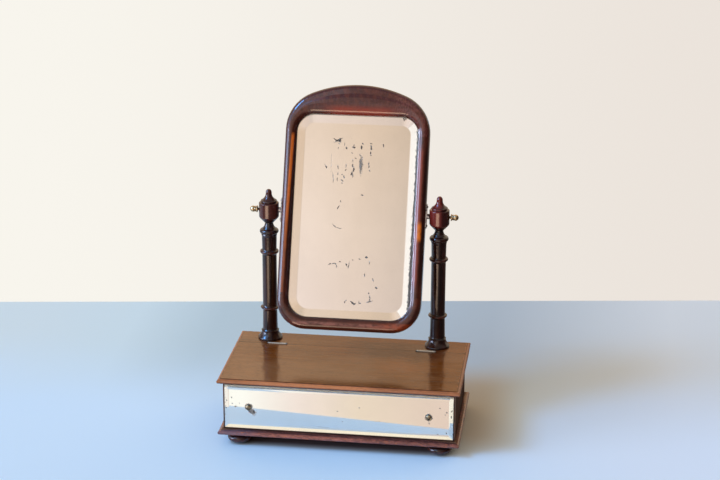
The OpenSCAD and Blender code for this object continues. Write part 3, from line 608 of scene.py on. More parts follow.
def low_rail_dress(g, p, colour):
    """A salmon bloom along the rounded crown, painted shade along the foot and a warm right corner."""
    u, v, _ = g.split(p)
    colour, worn, dirt_and_shade = frame_polish(g, p, colour)
    rub = g.pattern(p, (11, 5, 4), detail=3, roughness=0.65)
    middle = g.step(g.absolute(u), 92, 70)
    salmon = g.times(g.band(v, -172, -167, 1.8), g.step(rub, 0.3, 0.6), middle)
    colour = g.mix(g.times(salmon, 0.6), colour, srgb(178, 98, 74))
    # painted shade along the lower edge of the rail, which faces down
    low = g.times(g.step(v, -173.5, -176.5), middle)
    colour = g.mix(g.times(low, 0.35), colour, srgb(80, 26, 16))
    corner = g.times(g.band(v, -174, -164, 2), g.step(u, 20, 70))
    corner = g.times(corner, g.step(rub, 0.3, 0.6, 0.2, 0.7))
    colour = g.mix(corner, colour, srgb(168, 64, 24))
    return colour, worn, dirt_and_shade


def bare_dress(stain_colour):
    """Unpolished wood with water stains and a little dust."""

    def dress(g, p, colour):
        damp = g.pattern(p, (45, 45, 45), (8, 3, 1), detail=4, roughness=0.55)
        ring = g.times(g.band(damp, 0.5, 0.53, 0.015), 0.4)
        colour = g.mix(g.step(damp, 0.53, 0.56, 0, 0.25), colour, stain_colour)
        return g.mix(ring, colour, stain_colour), None, ring

    return dress


# Brass


def brass(name, tones, hollows=None, roughness=0.3, amount=0.5, seed=0):
    """Old brass: rubbed bright on the high places, brown in the hollows, finely scratched."""
    bright, tarnish = tones
    g = new_graph(name)
    p = whole(g)
    patch = g.pattern(p, (3.2, 3.2, 3.2), (seed, 0, 0), detail=4, roughness=0.65)
    dull_and_sheen = g.step(patch, 0.62 - 0.25 * amount, 0.72 - 0.12 * amount)
    if hollows:
        dull_and_sheen = g.largest(dull_and_sheen, hollows(g, p))
    colour = g.mix(dull_and_sheen, bright, tarnish)
    warm = g.pattern(p, (1.1, 1.1, 1.1), (0, seed, 2))
    colour = g.mix(g.step(warm, 0.5, 0.7, 0, 0.3), colour, dimmed(bright, 0.72))
    hair = g.pattern(p, (0.25, 4, 4), (seed, 1, 0), detail=1)
    rough = g.plus(roughness, g.times(dull_and_sheen, 0.28), g.times(g.minus(hair, 0.5), 0.16))
    normal = g.bump(g.plus(g.times(patch, 0.6), g.times(hair, 0.4)), 0.00003)
    metal = g.minus(1, g.times(dull_and_sheen, 0.35))
    g.principled(Base_Color=colour, Metallic=metal, Roughness=rough, Normal=normal)
    return g.owner


def knob_hollows(g, p):
    """The neck and the grooves of a thumbscrew, inside its face."""
    x, y, z = g.split(p)
    radius = g.vector("LENGTH", g.join(0, g.minus(y, POST_Y), g.minus(z, PIVOT_Z)))
    return g.times(g.step(radius, 4.15, 3.5), g.step(g.absolute(x), KNOB_FACE - 1.4, KNOB_FACE - 3))


def hinge_ends(g, p):
    """Tarnish towards both ends of a hinge."""
    x, _, _ = g.split(p)
    inner, outer = HINGE_ENDS
    along = g.absolute(g.minus(g.absolute(x), (inner + outer) / 2))
    half = (outer - inner) / 2
    return g.times(g.step(along, half - 3.1, half - 0.3), 0.85)


# Silvered glass


def stroke_mask(g, p, strokes):
    """The nearest stroke, as a share of its half width: under one is inside it.

    Each stroke is a start, an end and a half width, in the plane of the first two axes.
    """
    nearest = None
    for x0, y0, x1, y1, half in strokes:
        middle = ((x0 + x1) / 2, (y0 + y1) / 2, 0)
        turn = (0, 0, math.atan2(y1 - y0, x1 - x0))
        reach = (math.hypot(x1 - x0, y1 - y0) / 2 + half, half, 1)
        placed = g.add("ShaderNodeMapping", p, middle, turn, reach, vector_type="TEXTURE")
        share = g.vector("LENGTH", placed.outputs[0])
        nearest = share if nearest is None else g.smallest(nearest, share)
    return nearest


def silver(name, place, tint, strokes, faint, thin, lost_edge, rings=None, painted_reflection=None):
    """The silver behind old plate glass, flaked off in places down to the dark board."""
    g = new_graph(name)
    p = place(g)
    ragged = g.pattern(p, (1.5, 2.2, 1), detail=3, roughness=0.7)
    wander = g.pattern(p, (4, 4, 1), (4, 9, 0))
    push = g.times(g.minus(ragged, 0.5), 1.7)
    drift = g.times(g.minus(wander, 0.5), 2.4)
    flat = g.vector("ADD", p, g.join(g.plus(push, drift), drift, 0))
    flat = g.vector("MULTIPLY", flat, (1, 1, 0))
    flake = g.pattern(p, (0.8, 1.1, 1), (3, 3, 0), roughness=0.7)
    broken = g.plus(g.times(g.minus(ragged, 0.5), 2), g.times(g.minus(flake, 0.5), 1.4))

    deep = g.step(g.plus(stroke_mask(g, flat, strokes), broken), 1.1, 0.7, 0, 0.92)
    light = g.step(g.plus(stroke_mask(g, flat, faint), broken), 1.12, 0.8)
    lines = g.step(stroke_mask(g, flat, thin), 1.2, 0.7)
    deep = g.largest(deep, lost_edge(g, p))
    # pinholes scattered over the whole sheet, and closer together in a few places
    spots = g.pattern(p, (1.25, 1.25, 1), (11, 4, 0), detail=1, roughness=0.7)
    crowd = g.pattern(p, (40, 40, 1), (2, 7, 0), detail=1)
    limit = g.minus(0.815, g.times(crowd, 0.06))
    pins = g.step(g.minus(spots, limit), 0, 0.02)
    light = g.largest(light, pins, g.times(lines, 0.7))
    if rings:
        light = g.largest(light, rings(g, flat, ragged))

    cloudy = g.pattern(p, (55, 70, 1), (1, 3, 0), detail=3, roughness=0.6)
    colour = g.mix(g.step(cloudy, 0.35, 0.7, 0, 0.5), tint, dimmed(tint, 0.93))
    colour = g.mix(g.times(light, 0.72), colour, srgb(104, 94, 82))
    colour = g.mix(deep, colour, srgb(70, 60, 50))
    bare = g.largest(deep, g.times(light, 0.6))
    # painted reflection: a cream line over the silver, where one is given
    if painted_reflection:
        pale = painted_reflection(g, p)
        colour = g.mix(pale, colour, srgb(255, 238, 206))
        bare = g.largest(bare, pale)
    rough = g.plus(0.02, g.times(bare, 0.5))
    g.principled(Base_Color=colour, Metallic=g.minus(1, bare), Roughness=rough)
    return g.owner


def clear_glass(name):
    g = new_graph(name)
    tint = (0.985, 0.995, 0.985, 1)
    g.principled(Base_Color=tint, Roughness=0, IOR=1.52, Transmission_Weight=1)
    return g.owner


# Lost silver on the main glass: start, end and half width, across and up from the pivots
MAIN_DEEP = [
    (-36, 112, -31.5, 109.2, 1), (-33.5, 107, -25, 111.6, 1.6), (-28, 109, -25, 108, 1.5),
    (-27.6, 105.2, -27.2, 104.2, 0.8), (-16.6, 98.6, -15.8, 97, 1.1), (-5.6, 99.8, -4, 99.4, 1.7),
    (-4.9, 103, -4.3, 102, 0.8), (6.6, 101, 7, 98.4, 1.5), (8.4, 106.4, 9.4, 105.6, 1.1),
    (20.4, 106.6, 22.4, 106.2, 1), (21.3, 103.4, 21.7, 96.6, 1.1), (21.3, 93.8, 21.6, 91.2, 0.8),
    (21.5, 89, 22, 88.2, 0.8), (39.8, 105.8, 40.7, 102.2, 1), (-1.9, 83.6, -1, 82.6, 0.9),
    (-5.3, 73.4, -4.8, 69.6, 1), (-3, 67.8, -3.6, 63.6, 1.3), (-5.2, 62, -6.8, 57.6, 1.2),
    (-5, 61, -4.2, 57, 0.8), (-45.6, 68.6, -44.8, 67, 1), (-16.2, 64.2, -14.8, 65.2, 0.8),
    (-20.9, 57.9, -20.3, 57.2, 0.9), (-24.9, 5.6, -22.6, 9.6, 0.8), (-30.6, -18.6, -26.2, -22.8, 0.7),
    (-33, -79.2, -31.4, -78.4, 0.9), (-7.3, -77.4, -6.3, -80.2, 1.1), (22.2, -65.8, 23.8, -66, 1.3),
    (39.9, -110.2, 40.3, -112, 1.3), (-6.6, -135.2, -5.6, -134.2, 1), (3.8, -134.2, 7.4, -136.8, 1.3),
    (7.6, -137.8, 9.2, -136.4, 0.9), (69, 146.5, 69.5, 143.2, 1.2), (71.8, 146, 72.3, 144.6, 0.9),
]
MAIN_FAINT = [
    (7.2, 84.2, 7.6, 62.6, 2.5), (-19.2, 106, -18.8, 101.8, 0.5), (-28.4, 98.4, -29, 95.4, 0.5),
    (-6.9, 91.8, -6.7, 90.6, 0.8), (5, 90, 5.1, 86.6, 0.7), (-5.6, 80.2, -5, 77.4, 0.8),
    (19.1, 76.8, 19.3, 74.6, 0.9), (19.8, 72.2, 20, 69.6, 0.9), (20.8, 66, 21.2, 64.2, 0.8),
    (-47.8, 71.8, -45.6, 69.2, 0.7), (-27.7, 71, -27.3, 66.2, 0.8), (-15.1, 73, -15.3, 68, 0.7),
    (-34.4, 56, -33.2, 51, 0.6), (-33.2, 51, -33.6, 45, 0.6), (-26.9, 59.4, -27.1, 57, 0.9),
    (-27.4, 51.6, -27.3, 48.6, 0.9), (-18, 56, -17.8, 52.6, 1), (-21, 49.6, -19, 47.6, 1),
    (-20.2, 45, -19.8, 44.2, 0.8), (-4.6, 57, -4.2, 54.4, 0.8), (10.9, 28.2, 12.6, 27.4, 1),
    (-20.6, 17.6, -20.2, 16, 0.6), (-26.2, -22.8, -17.4, -24.4, 0.45), (-28.8, -78.2, -25.2, -76.8, 0.7),
    (-25.2, -76.8, -22.2, -79.4, 0.8), (-22.1, -79.6, -21.8, -83.6, 0.8), (-17.6, -74.8, -16.6, -74.8, 0.9),
    (-2.5, -74.6, -3.9, -82.4, 0.7), (12.3, -69.2, 13.5, -69.4, 0.9), (2, -70.6, 3.2, -71.2, 0.6),
    (27.6, -72, 27.9, -76.4, 0.7), (21.1, -91.4, 21.4, -95.4, 0.8), (34.2, -98.2, 35.8, -101.8, 1.1),
    (29, -119.2, 29, -120.8, 0.8), (30.8, -124, 31.1, -126.6, 1), (31.2, -128.6, 31.3, -131.6, 1.1),
    (28.2, -133.4, 33.8, -131.6, 1.1), (-4.8, -132.9, -3.9, -132, 0.7), (15.4, -132.6, 15.4, -136.4, 0.7),
    (15.4, -136.2, 18, -135.2, 0.8), (2.6, -133, 3.6, -134.2, 0.8),
]
MAIN_THIN = [(-38.6, 88, -37.9, 60.6, 0.28), (-34.9, 62, -34.5, 54, 0.25)]

# Lost silver on the panel, across and up from the ground
PANEL_DEEP = [
    (-134, 54, -131, 52.2, 1), (-126.6, 55.6, -125.4, 50.6, 1.1), (-154.4, 60.2, -153.6, 60.2, 1.2),
    (-158.8, 65, -158.3, 64.6, 0.8), (-166.8, 69.6, -166.2, 69.2, 0.9), (-168.4, 58, -168, 56.6, 0.8),
    (160, 69.6, 161, 69.2, 1), (166.6, 63.4, 167.4, 61.6, 0.9), (160, 36.8, 160.6, 36.2, 0.8),
    (-1.6, 61.8, -1, 61.6, 0.8), (146.7, 34.4, 147.3, 34, 0.7), (166.2, 71, 168.4, 73, 0.7),
]
PANEL_FAINT = [
    (-132, 56.6, -127, 52.4, 4.2), (-127.6, 54, -126, 50.4, 3.2),
    (-160, 74.6, -159.6, 74.2, 0.8), (150.3, 76.2, 150.8, 75.8, 0.9), (31.1, 69.6, 31.6, 69.2, 0.8),
    (134, 57.6, 134.4, 55, 1.2), (134.6, 52, 134.8, 50.2, 0.8), (158, 66, 159.4, 65, 0.8),
    (-148, 66.4, -147.4, 66, 0.6), (6, 45.8, 7, 45.6, 0.6), (61, 49.6, 61.4, 49.2, 0.6),
]
PANEL_THIN = [(-40, 36, -12, 34, 0.2)]

# How far the panel's two screws stand from its middle
SCREW_X = 134


def upright(g):
    """The place on the front panel: across, up and out."""
    return swapped(g, whole(g), "xzy")


def screw_rings(g, p, ragged):
    """Dark rings where the brass cups have bruised the silver."""
    total = None
    for x, reach in ((-SCREW_X, 5.6), (SCREW_X, 5.4)):
        away = g.vector("LENGTH", g.vector("SUBTRACT", p, (x, PANEL_Z, 0)))
        away = g.plus(away, g.times(g.minus(ragged, 0.5), 2.4))
        ring = g.step(away, reach + 0.8, reach - 0.3)
        total = ring if total is None else g.largest(total, ring)
    return total


def panel_edge(g, p):
    """Specks eaten in from the panel's ends and lower edge."""
    x, z, _ = g.split(p)
    end = g.minus(PANEL_HIGH.x, g.absolute(x))
    low = g.minus(z, PANEL_LOW.z)
    gap = g.smallest(end, g.plus(g.times(low, 1.6), 2))
    fine = g.pattern(p, (1.6, 1.6, 1), (6, 2, 0), roughness=0.7)
    return g.step(g.minus(fine, g.times(gap, 0.05)), 0.56, 0.6)


def painted_panel_reflection(g, p):
    """A painted cream reflection along the panel's upper edge."""
    _, z, _ = g.split(p)
    return g.times(g.band(z, PANEL_HIGH.z - 2.9, PANEL_HIGH.z - 0.8, 0.5), 0.85)


def sight_edge(g, p):
    """Dark specks where the silver has gone along the frame, most at the right side."""
    u, v, _ = g.split(p)
    fine = g.pattern(p, (2.2, 3.4, 1), (6, 2, 0), detail=3, roughness=0.7)
    right = g.minus(g.minus(SILVER_RIGHT, u), g.step(v, 60, -90, 0.6, 2.2))
    right = g.step(g.minus(fine, g.times(right, 0.11)), 0.28, 0.37, 0, 0.8)
    left = g.step(g.minus(fine, g.times(g.minus(u, SILVER_LEFT), 0.11)), 0.2, 0.25)
    top = g.step(g.minus(fine, g.times(g.minus(SILVER_TOP, v), 0.1)), 0.2, 0.25)
    return g.largest(right, left, top)


# The materials of every part

LID_TONES = (srgb(90, 42, 10), srgb(112, 57, 14), srgb(131, 70, 22))
CASE_TONES = (srgb(44, 19, 13), srgb(66, 30, 19), srgb(92, 45, 28))
PLINTH_TONES = (srgb(92, 46, 38), srgb(122, 66, 54), srgb(148, 86, 68))
SIDE_TONES = (srgb(48, 20, 8), srgb(68, 32, 13), srgb(94, 48, 22))
FRAME_TONES = (srgb(58, 20, 11), srgb(76, 29, 16), srgb(100, 41, 23))
POST_TONES = (srgb(24, 8, 6), srgb(42, 15, 10), srgb(68, 28, 18))
FOOT_TONES = (srgb(26, 9, 8), srgb(40, 14, 11), srgb(64, 25, 19))
INNER_TONES = (srgb(104, 66, 42), srgb(136, 92, 60), srgb(164, 118, 80))
PINE_TONES = (srgb(150, 112, 70), srgb(182, 144, 96), srgb(206, 172, 124))

# Brass where it is rubbed bright, and its tarnish
KNOB_BRASS = (srgb(222, 193, 150), srgb(74, 54, 34))
PLATE_BRASS = (srgb(190, 181, 180), srgb(84, 74, 70))
HINGE_BRASS = (srgb(206, 202, 194), srgb(70, 58, 46))
CUP_BRASS = (srgb(198, 176, 138), srgb(60, 48, 38))
SCREW_BRASS = (srgb(176, 156, 124), srgb(52, 42, 34))

LID_LOOK = {
    "ribbon": 0.4, "streaks": 0.35, "stain": 0.25, "pores": 0.35,
    "roughness": 0.12, "uneven": 0.04, "specular": 0.5,
}
POLISHED = {"roughness": 0.36, "specular": 0.1, "coat": 1, "coat_roughness": 0.13, "pores": 0.4}
CASE_LOOK = {**POLISHED, "specular": 0.25, "coat": 0.5, "coat_roughness": 0.16, "pores": 0.45}
POST_LOOK = {**POLISHED, "coat_roughness": 0.09, "pores": 0.35, "lengths": (90, 7, 7)}
FRAME_LOOK = {
    **POLISHED, "roughness": 0.34, "coat_roughness": 0.07,
    "lengths": (120, 9, 9), "place": on_mirror,
}
STILE_LOOK = {**FRAME_LOOK, "order": "yxz"}
CREST_LOOK = {**FRAME_LOOK, "ribbon": 0.2, "streaks": 0.15}
SIDE_LOOK = {"roughness": 0.58, "specular": 0.08, "pores": 0.5, "ribbon": 0.45, "streaks": 0.4, "stain": 0.1}
BARE_LOOK = {"roughness": 0.62, "specular": 0.3, "pores": 0.6, "relief": 0.00009}
PINE_LOOK = {**BARE_LOOK, "place": on_mirror, "order": "yxz", "lengths": (210, 11, 11), "ribbon": 0.9}

# The walls and boards with a bare inner face, and which way that face looks
BARE_INSIDE = {
    "box_front": (0, 1, 0),
    "box_back": (0, -1, 0),
    "box_left_side": (1, 0, 0),
    "box_right_side": (-1, 0, 0),
    "lid": (0, 0, -1),
    "rear_top_strip": (0, 0, -1),
    "plinth_board": (0, 0, 1),
}


def cover(names, material):
    """Gives the material to every face of the named nodes."""
    for name in names.split():
        mesh = nodes[name].data
        mesh.materials.clear()
        mesh.materials.append(material)
        for face in mesh.polygons:
            face.material_index = 0


def cover_box():
    """Polished wood outside the box."""
    lid = wood("lid_wood", LID_TONES, 3, dress=lid_dress(LID_FRONT, None), **LID_LOOK)
    strip = wood("strip_wood", LID_TONES, 5, dress=lid_dress(None, LID_BACK), **LID_LOOK)
    cover("lid", lid)
    cover("rear_top_strip", strip)
    cover("plinth_board", wood("plinth_wood", PLINTH_TONES, 8, dress=plinth_dress, **POLISHED))
    cover("box_front", wood("case_front_wood", CASE_TONES, 11, dress=case_dress, **CASE_LOOK))
    cover("box_back", wood("case_back_wood", SIDE_TONES, 12, dress=case_dress, **SIDE_LOOK))
    for side, seed in (("left", 13), ("right", 14)):
        wall = wood(f"case_{side}_wood", SIDE_TONES, seed, order="yxz", dress=case_dress, **SIDE_LOOK)
        cover(f"box_{side}_side", wall)
    foot = wood("foot_wood", FOOT_TONES, 23, order="zxy", dress=foot_dress, **POST_LOOK)
    cover("foot_front_left foot_front_right foot_rear_left foot_rear_right", foot)


def cover_mirror():
    """Polished wood for the posts and the frame, pine behind the glass and under the posts."""
    post = wood("post_wood", POST_TONES, 19, order="zxy", dress=post_dress, **POST_LOOK)
    cover("left_post right_post", post)
    cover("left_stile", wood("left_stile_wood", FRAME_TONES, 29, dress=left_stile_dress, **STILE_LOOK))
    cover("right_stile", wood("right_stile_wood", FRAME_TONES, 31, dress=right_stile_dress, **STILE_LOOK))
    cover("crest_rail", wood("crest_wood", FRAME_TONES, 37, dress=crest_dress, **CREST_LOOK))
    cover("bottom_rail", wood("low_rail_wood", FRAME_TONES, 41, dress=low_rail_dress, **FRAME_LOOK))
    damp_pine = bare_dress(srgb(120, 84, 50))
    cover("backboard", wood("backboard_pine", PINE_TONES, 43, dress=damp_pine, **PINE_LOOK))
    blocks = wood("block_pine", PINE_TONES, 47, order="xzy", dress=damp_pine, **BARE_LOOK)
    cover("left_glue_block right_glue_block glass_blocks", blocks)


def cover_inside():
    """Bare wood on the faces that the open box shows."""
    inner = wood("unpolished_wood", INNER_TONES, 17, dress=bare_dress(srgb(82, 50, 32)), **BARE_LOOK)
    for name, inward in BARE_INSIDE.items():
        mesh = nodes[name].data
        mesh.materials.append(inner)
        for face in mesh.polygons:
            outside = name == "plinth_board" and not inside_case(face)
            if face.normal.dot(Vector(inward)) > 0.9 and not outside:
                face.material_index = 1


def cover_brass():
    """Thumbscrews, pivot plates, hinges, cup washers and screws."""
    knob = brass("thumbscrew_brass", KNOB_BRASS, knob_hollows, roughness=0.31, amount=0.3)
    plate = brass("pivot_plate_brass", PLATE_BRASS, roughness=0.34, amount=0.7, seed=3)
    hinge = brass("hinge_brass", HINGE_BRASS, hinge_ends, amount=0.2, seed=5)
    cup = brass("cup_brass", CUP_BRASS, roughness=0.36, amount=0.75, seed=7)
    screw = brass("screw_brass", SCREW_BRASS, roughness=0.38, amount=0.85, seed=9)
    for side in ("left", "right"):
        cover(f"{side}_thumbscrew", knob)
        cover(f"{side}_pivot_plate", plate)
        cover(f"{side}_hinge_fixed_leaf {side}_hinge_moving_leaf {side}_hinge_pin", hinge)
    cover("panel_cup_washers", cup)
    cover("panel_screws plinth_screws backboard_screws", screw)
    cover("pivot_plate_screws hinge_fixed_screws hinge_moving_screws", screw)


def cover_glass():
    """Clear plate glass with a film of old silver just inside its back."""
    cover("mirror_glass front_mirror_panel", clear_glass("plate_glass"))
    main = silver("main_silver", on_mirror, srgb(240, 232, 226), MAIN_DEEP, MAIN_FAINT, MAIN_THIN, sight_edge)
    panel = silver(
        "panel_silver", upright, srgb(255, 248, 240), PANEL_DEEP, PANEL_FAINT, PANEL_THIN,
        panel_edge, rings=screw_rings, painted_reflection=painted_panel_reflection,
    )
    mirror_back = Vector((0, math.cos(LEAN), -math.sin(LEAN)))
    silvering("main_silvering", "mirror_glass", mirror_back, main, "swing_mirror")
    panel_back = Vector((0, 1, 0))
    silvering("panel_silvering", "front_mirror_panel", panel_back, panel, "base")


# The silver film: its share of the glass's outline, how deep it lies in the glass, how thick it is
FILM_SHARE = 0.9997
FILM_DEPTH = 0.00012
FILM_THICKNESS = 0.00004


def silvering(name, node, behind, material, body):
    """The silver of a mirror: a film just inside the back of its glass, seen through it."""
    film = bmesh.new()
    film.from_mesh(nodes[node].data)
    others = [face for face in film.faces if face.normal.dot(behind) < 0.9]
    bmesh.ops.delete(film, geom=others, context="FACES")
    bmesh.ops.remove_doubles(film, verts=film.verts, dist=1e-6)
    middle = sum((vert.co for vert in film.verts), Vector()) / len(film.verts)
    for vert in film.verts:
        vert.co = middle + (vert.co - middle) * FILM_SHARE - behind * FILM_DEPTH
    grown = bmesh.ops.extrude_face_region(film, geom=film.faces[:])["geom"]
    front = [item for item in grown if isinstance(item, bmesh.types.BMVert)]
    bmesh.ops.translate(film, verts=front, vec=-behind * FILM_THICKNESS)
    bmesh.ops.recalc_face_normals(film, faces=film.faces)
    mesh = bpy.data.meshes.new(name)
    film.to_mesh(mesh)
    film.free()
    mesh.materials.append(material)
    piece = bpy.data.objects.new(name, mesh)
    scene.collection.objects.link(piece)
    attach(piece, body)


def inside_case(face):
    """Whether a face of the plinth board lies within the four walls."""
    x, y, _ = (value * MM for value in face.center)
    return abs(x) < CASE_HALF - 4 and CASE_FRONT + 4 < y < CASE_BACK - 4


# The surroundings

BACKGROUND_LEFT = srgb(248, 245, 237)
BACKGROUND_RIGHT = srgb(235, 227, 219)

# The light of the room, level by level from straight down to straight up
DOME = [
    (0, (0.2, 0.17, 0.14)), (0.44, (0.22, 0.18, 0.15)), (0.52, (0.36, 0.3, 0.25)),
    (0.7, (0.36, 0.32, 0.28)), (1, (0.36, 0.36, 0.37)),
]

# The light at single angles: the cream wall behind, the wall that the leaning glass sees, across
# it and upwards, and the pale and the shaded floor that the panel sees
WALL_BEHIND = [(-12, (1.55, 1.05, 0.66)), (-8, (1.06, 0.7, 0.43)), (-4, (1, 0.58, 0.31))]
WALL_ACROSS = [
    (-6, (0.78, 0.62, 0.5)), (1.5, (0.91, 0.74, 0.59)), (4, (0.86, 0.7, 0.56)),
    (6.3, (0.8, 0.69, 0.6)), (7.9, (0.93, 0.8, 0.69)), (9.4, (1.01, 0.89, 0.8)),
    (12, (1.04, 0.93, 0.85)),
]
WALL_UPWARD = [
    (8, (0.97, 0.94, 0.94)), (21.5, (0.99, 1, 1.06)), (25, (1, 1, 1)),
    (28.5, (0.93, 0.89, 0.82)), (37, (0.86, 0.82, 0.74)),
]
PALE_FLOOR = [
    (-12, (1, 0.98, 0.94)), (-2, (0.88, 0.83, 0.79)), (4.6, (0.79, 0.66, 0.59)),
    (7.5, (0.83, 0.735, 0.62)), (9.5, (0.91, 0.83, 0.8)), (11.3, (1.01, 1.06, 1.05)),
    (20, (1.02, 1.01, 0.92)),
]
SHADED_FLOOR = [
    (4.2, (0.74, 0.66, 0.62)), (5.6, (0.46, 0.58, 0.76)), (9.5, (0.48, 0.64, 0.84)),
    (12, (0.68, 0.82, 0.98)),
]


def build_light():
    """A soft room by direction: a window on the left, warm walls, a sunlit floor further off.

    Angles are degrees: a is measured to the left of straight out in front, e is up.
    """
    world = bpy.data.worlds.new("room")
    scene.world = world
    g = Graph(world)
    x, y, z = g.split(g.add("ShaderNodeTexCoord").outputs["Generated"])
    degrees = 180 / math.pi
    a = g.times(g.math("ARCTAN2", g.times(x, -1), g.times(y, -1)), degrees)
    behind = g.times(g.math("ARCTAN2", x, y), degrees)
    e = g.times(g.math("ARCSINE", z), degrees)

    def scale(value, stops):
        """A colour that follows the value through the given stops."""
        low, high = stops[0][0], stops[-1][0]
        share = g.over(g.minus(value, low), high - low)
        return g.ramp(share, [((at - low) / (high - low), level + (1,)) for at, level in stops])

    colour = scale(g.over(g.plus(e, 90), 180), DOME)

    def patch(start, end, low, high, soft_a, soft_e, light, angle=a):
        """The light so far, with a soft-edged patch of other light over it."""
        mask = g.times(g.band(angle, start, end, soft_a), g.band(e, low, high, soft_e))
        return g.mix(mask, colour, light if isinstance(light, bpy.types.NodeSocket) else light + (1,))

    # a dark room to the right, a cream wall behind, and what the lid sees of it
    colour = patch(-130, -25, -60, 34, 6, 5, (0.07, 0.055, 0.05))
    colour = patch(118, 200, 6, 60, 8, 5, (1.02, 0.82, 0.6), g.absolute(a))
    colour = patch(-20, 6, 14, 34, 4, 4, scale(behind, WALL_BEHIND), behind)
    # what the leaning glass sees: a wall that pales from right to left and dims upwards
    wall = g.mix(1, scale(a, WALL_ACROSS), scale(e, WALL_UPWARD), "MULTIPLY")
    colour = patch(-8, 13, 5, 46, 2, 3, wall)
    # a white screen beside it, then the window: pale walls low in it and the sky above them
    colour = patch(12.3, 30, 4, 46, 0.5, 3, (1.22, 1.22, 1.2))
    colour = patch(38, 92, 18, 56, 3, 3, (0.9, 1.5, 2.2))
    colour = patch(25, 58, 31, 52, 6, 5, (1.3, 1.8, 2.7))
    colour = patch(70, 98, -3, 19, 4, 3, (1.5, 1.9, 2.7))
    colour = patch(52, 79, -3, 19, 4, 3, (8, 9.9, 14.3))
    colour = patch(58, 76, 38, 50, 2, 2, (4.2, 13, 30))
    # low in front, a sunlit strip, then the pale and the shaded floor that the panel sees
    colour = patch(0, 33, -21.2, -19, 10, 0.8, (4.4, 3.1, 2.2))
    colour = patch(0, 33, -19, -16.4, 10, 0.5, (8.2, 5.7, 4.1))
    colour = patch(-16, 40, -64, -23.1, 3, 0.4, scale(a, PALE_FLOOR))
    colour = patch(-12, 26, -15.4, -8.5, 4, 1, scale(a, SHADED_FLOOR))
    colour = patch(-12, 26, -7.5, 5, 3, 1, (1.02, 0.98, 0.82))

    # the camera itself sees a plain background
    seen = g.add("ShaderNodeLightPath").outputs["Is Camera Ray"]
    backdrop = g.mix(g.step(behind, -19, 5), BACKGROUND_LEFT, BACKGROUND_RIGHT)
    background = g.add("ShaderNodeBackground", g.mix(seen, colour, backdrop), 1)
    g.add("ShaderNodeOutputWorld", background.outputs[0])


# The ground in metres: its edges, and how far the front and back edge slope to the right
TABLE_DEPTH = 0.0002
TABLE_BACK = 0.506
TABLE_BACK_SLOPE = 0.1476
TABLE_FRONT = -0.23
TABLE_FRONT_SLOPE = 0.116
TABLE_LEFT = -1.3
TABLE_RIGHT = 0.186
# tones of the far ground from left to right, with painted shade darker behind the box
TABLE_TONES = [
    (0, srgb(232, 239, 229)), (0.16, srgb(228, 238, 229)), (0.29, srgb(207, 218, 211)),
    (0.72, srgb(199, 203, 197)), (1, srgb(236, 232, 219)),
]


def table_paint(g, place, uneven):
    """Pale paint, cooler near the camera, with painted light and shade: bluer to the left, darker behind the
    box further back, and painted shadow where the box stands on it.
    """
    x, y, _ = g.split(place)
    sway = g.times(g.minus(uneven, 0.5), 0.2)
    # painted light: the near part bluer on the left, towards the window
    paint = g.mix(g.step(g.plus(x, sway), 0, 0.5), srgb(228, 244, 248), srgb(236, 241, 241))
    # painted light and shade further back: lighter away from the box, darker behind it
    far = g.ramp(g.over(g.plus(x, 0.6), 1.1), TABLE_TONES)
    paint = g.mix(g.step(g.plus(y, sway), -0.05, 0.32), paint, far)
    # the polished end of the box throws warm light beside it
    warm = g.times(g.step(x, 0.275, 0.19), g.band(y, -0.08, 0.2, 0.05))
    paint = g.mix(g.times(warm, g.step(x, 0, 0.1)), paint, srgb(212, 203, 187))
    # painted shadow where the box stands on the ground
    painted_box_shadow = g.times(g.step(y, -0.131, -0.1), g.step(y, 0.07, 0.04))
    painted_box_shadow = g.times(painted_box_shadow, g.band(x, -0.16, 0.16, 0.01))
    return g.mix(painted_box_shadow, paint, srgb(112, 98, 98))


def table_gone(g, place):
    """One where a ray goes on past the edges of the ground.

    The camera sees it end in a straight line behind the object. Mirrors and polish also see it
    end just in front of the box and beside it.
    """
    path = g.add("ShaderNodeLightPath").outputs
    x, y, _ = g.split(place)
    back = g.minus(y, g.times(x, TABLE_BACK_SLOPE))
    beyond = g.times(g.math("GREATER_THAN", back, TABLE_BACK), path["Is Camera Ray"])
    front = g.minus(y, g.plus(g.times(x, TABLE_FRONT_SLOPE), TABLE_FRONT))
    before = g.step(front, 0.001, -0.001)
    beside = g.largest(g.math("GREATER_THAN", x, TABLE_RIGHT), g.math("LESS_THAN", x, TABLE_LEFT))
    mirrored = g.math("ADD", path["Is Glossy Ray"], path["Is Transmission Ray"], clamp=True)
    return g.largest(beyond, g.times(g.largest(before, beside), mirrored))


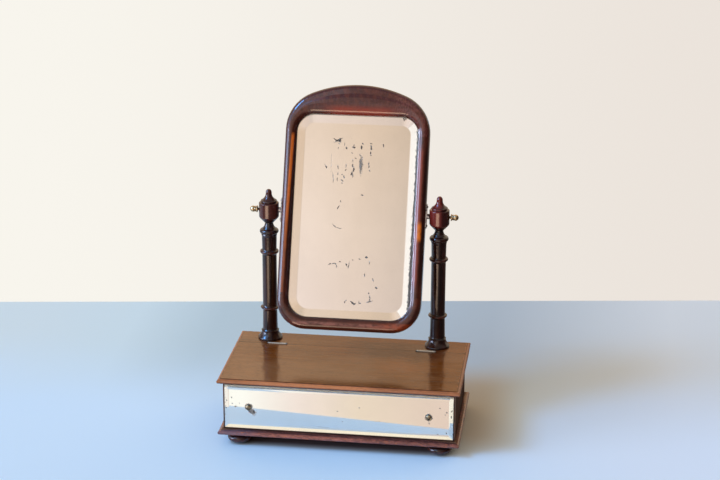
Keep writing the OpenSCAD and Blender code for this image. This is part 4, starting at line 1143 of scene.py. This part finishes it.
def build_table():
    """The pale, dull ground under the object."""
    mesh = bpy.data.meshes.new("table")
    work = bmesh.new()
    bmesh.ops.create_grid(work, x_segments=24, y_segments=24, size=6)
    work.to_mesh(mesh)
    work.free()
    table = bpy.data.objects.new("table", mesh)
    scene.collection.objects.link(table)
    table.location.z = -TABLE_DEPTH
    g = new_graph("table_paint")
    place = g.add("ShaderNodeTexCoord").outputs["Object"]
    uneven = g.noise(g.vector("SCALE", place, scale=2.2))
    fine = g.noise(g.vector("SCALE", place, scale=900))
    coat = g.add("ShaderNodeBsdfPrincipled")
    g.put(coat.inputs["Base Color"], table_paint(g, place, uneven))
    g.put(coat.inputs["Roughness"], g.plus(0.45, g.times(uneven, 0.08)))
    g.put(coat.inputs["Specular IOR Level"], 0)
    g.put(coat.inputs["Normal"], g.bump(fine, 0.00004))
    clear = g.add("ShaderNodeBsdfTransparent")
    ended = g.add("ShaderNodeMixShader", table_gone(g, place), coat.outputs[0], clear.outputs[0])
    g.surface(ended.outputs[0])
    mesh.materials.append(g.owner)


# The camera: where it stands in metres, its turns in degrees, lens and sensor in millimetres
CAMERA_PLACE = (0.36334858, -2.65492852, 1.21336959)
CAMERA_TURNS = (7.4523, 19.0398, 0.2315)
CAMERA_LENS = 95
CAMERA_SENSOR = 36


def build_camera():
    """Long lens from the front, a little to the right and well above."""
    data = bpy.data.cameras.new("camera")
    data.lens = CAMERA_LENS
    data.sensor_width = CAMERA_SENSOR
    data.clip_start = 0.1
    data.clip_end = 40
    camera = bpy.data.objects.new("camera", data)
    scene.collection.objects.link(camera)
    yaw, pitch, roll = (math.radians(value) for value in CAMERA_TURNS)
    aim = Matrix.Rotation(yaw, 4, "Z") @ Matrix.Rotation(math.pi / 2 - pitch, 4, "X")
    camera.matrix_world = Matrix.Translation(CAMERA_PLACE) @ aim @ Matrix.Rotation(roll, 4, "Z")
    scene.camera = camera
    scene.view_settings.view_transform = "Standard"


build_camera()
cover_box()
cover_mirror()
cover_inside()
cover_brass()
cover_glass()
build_light()
build_table()
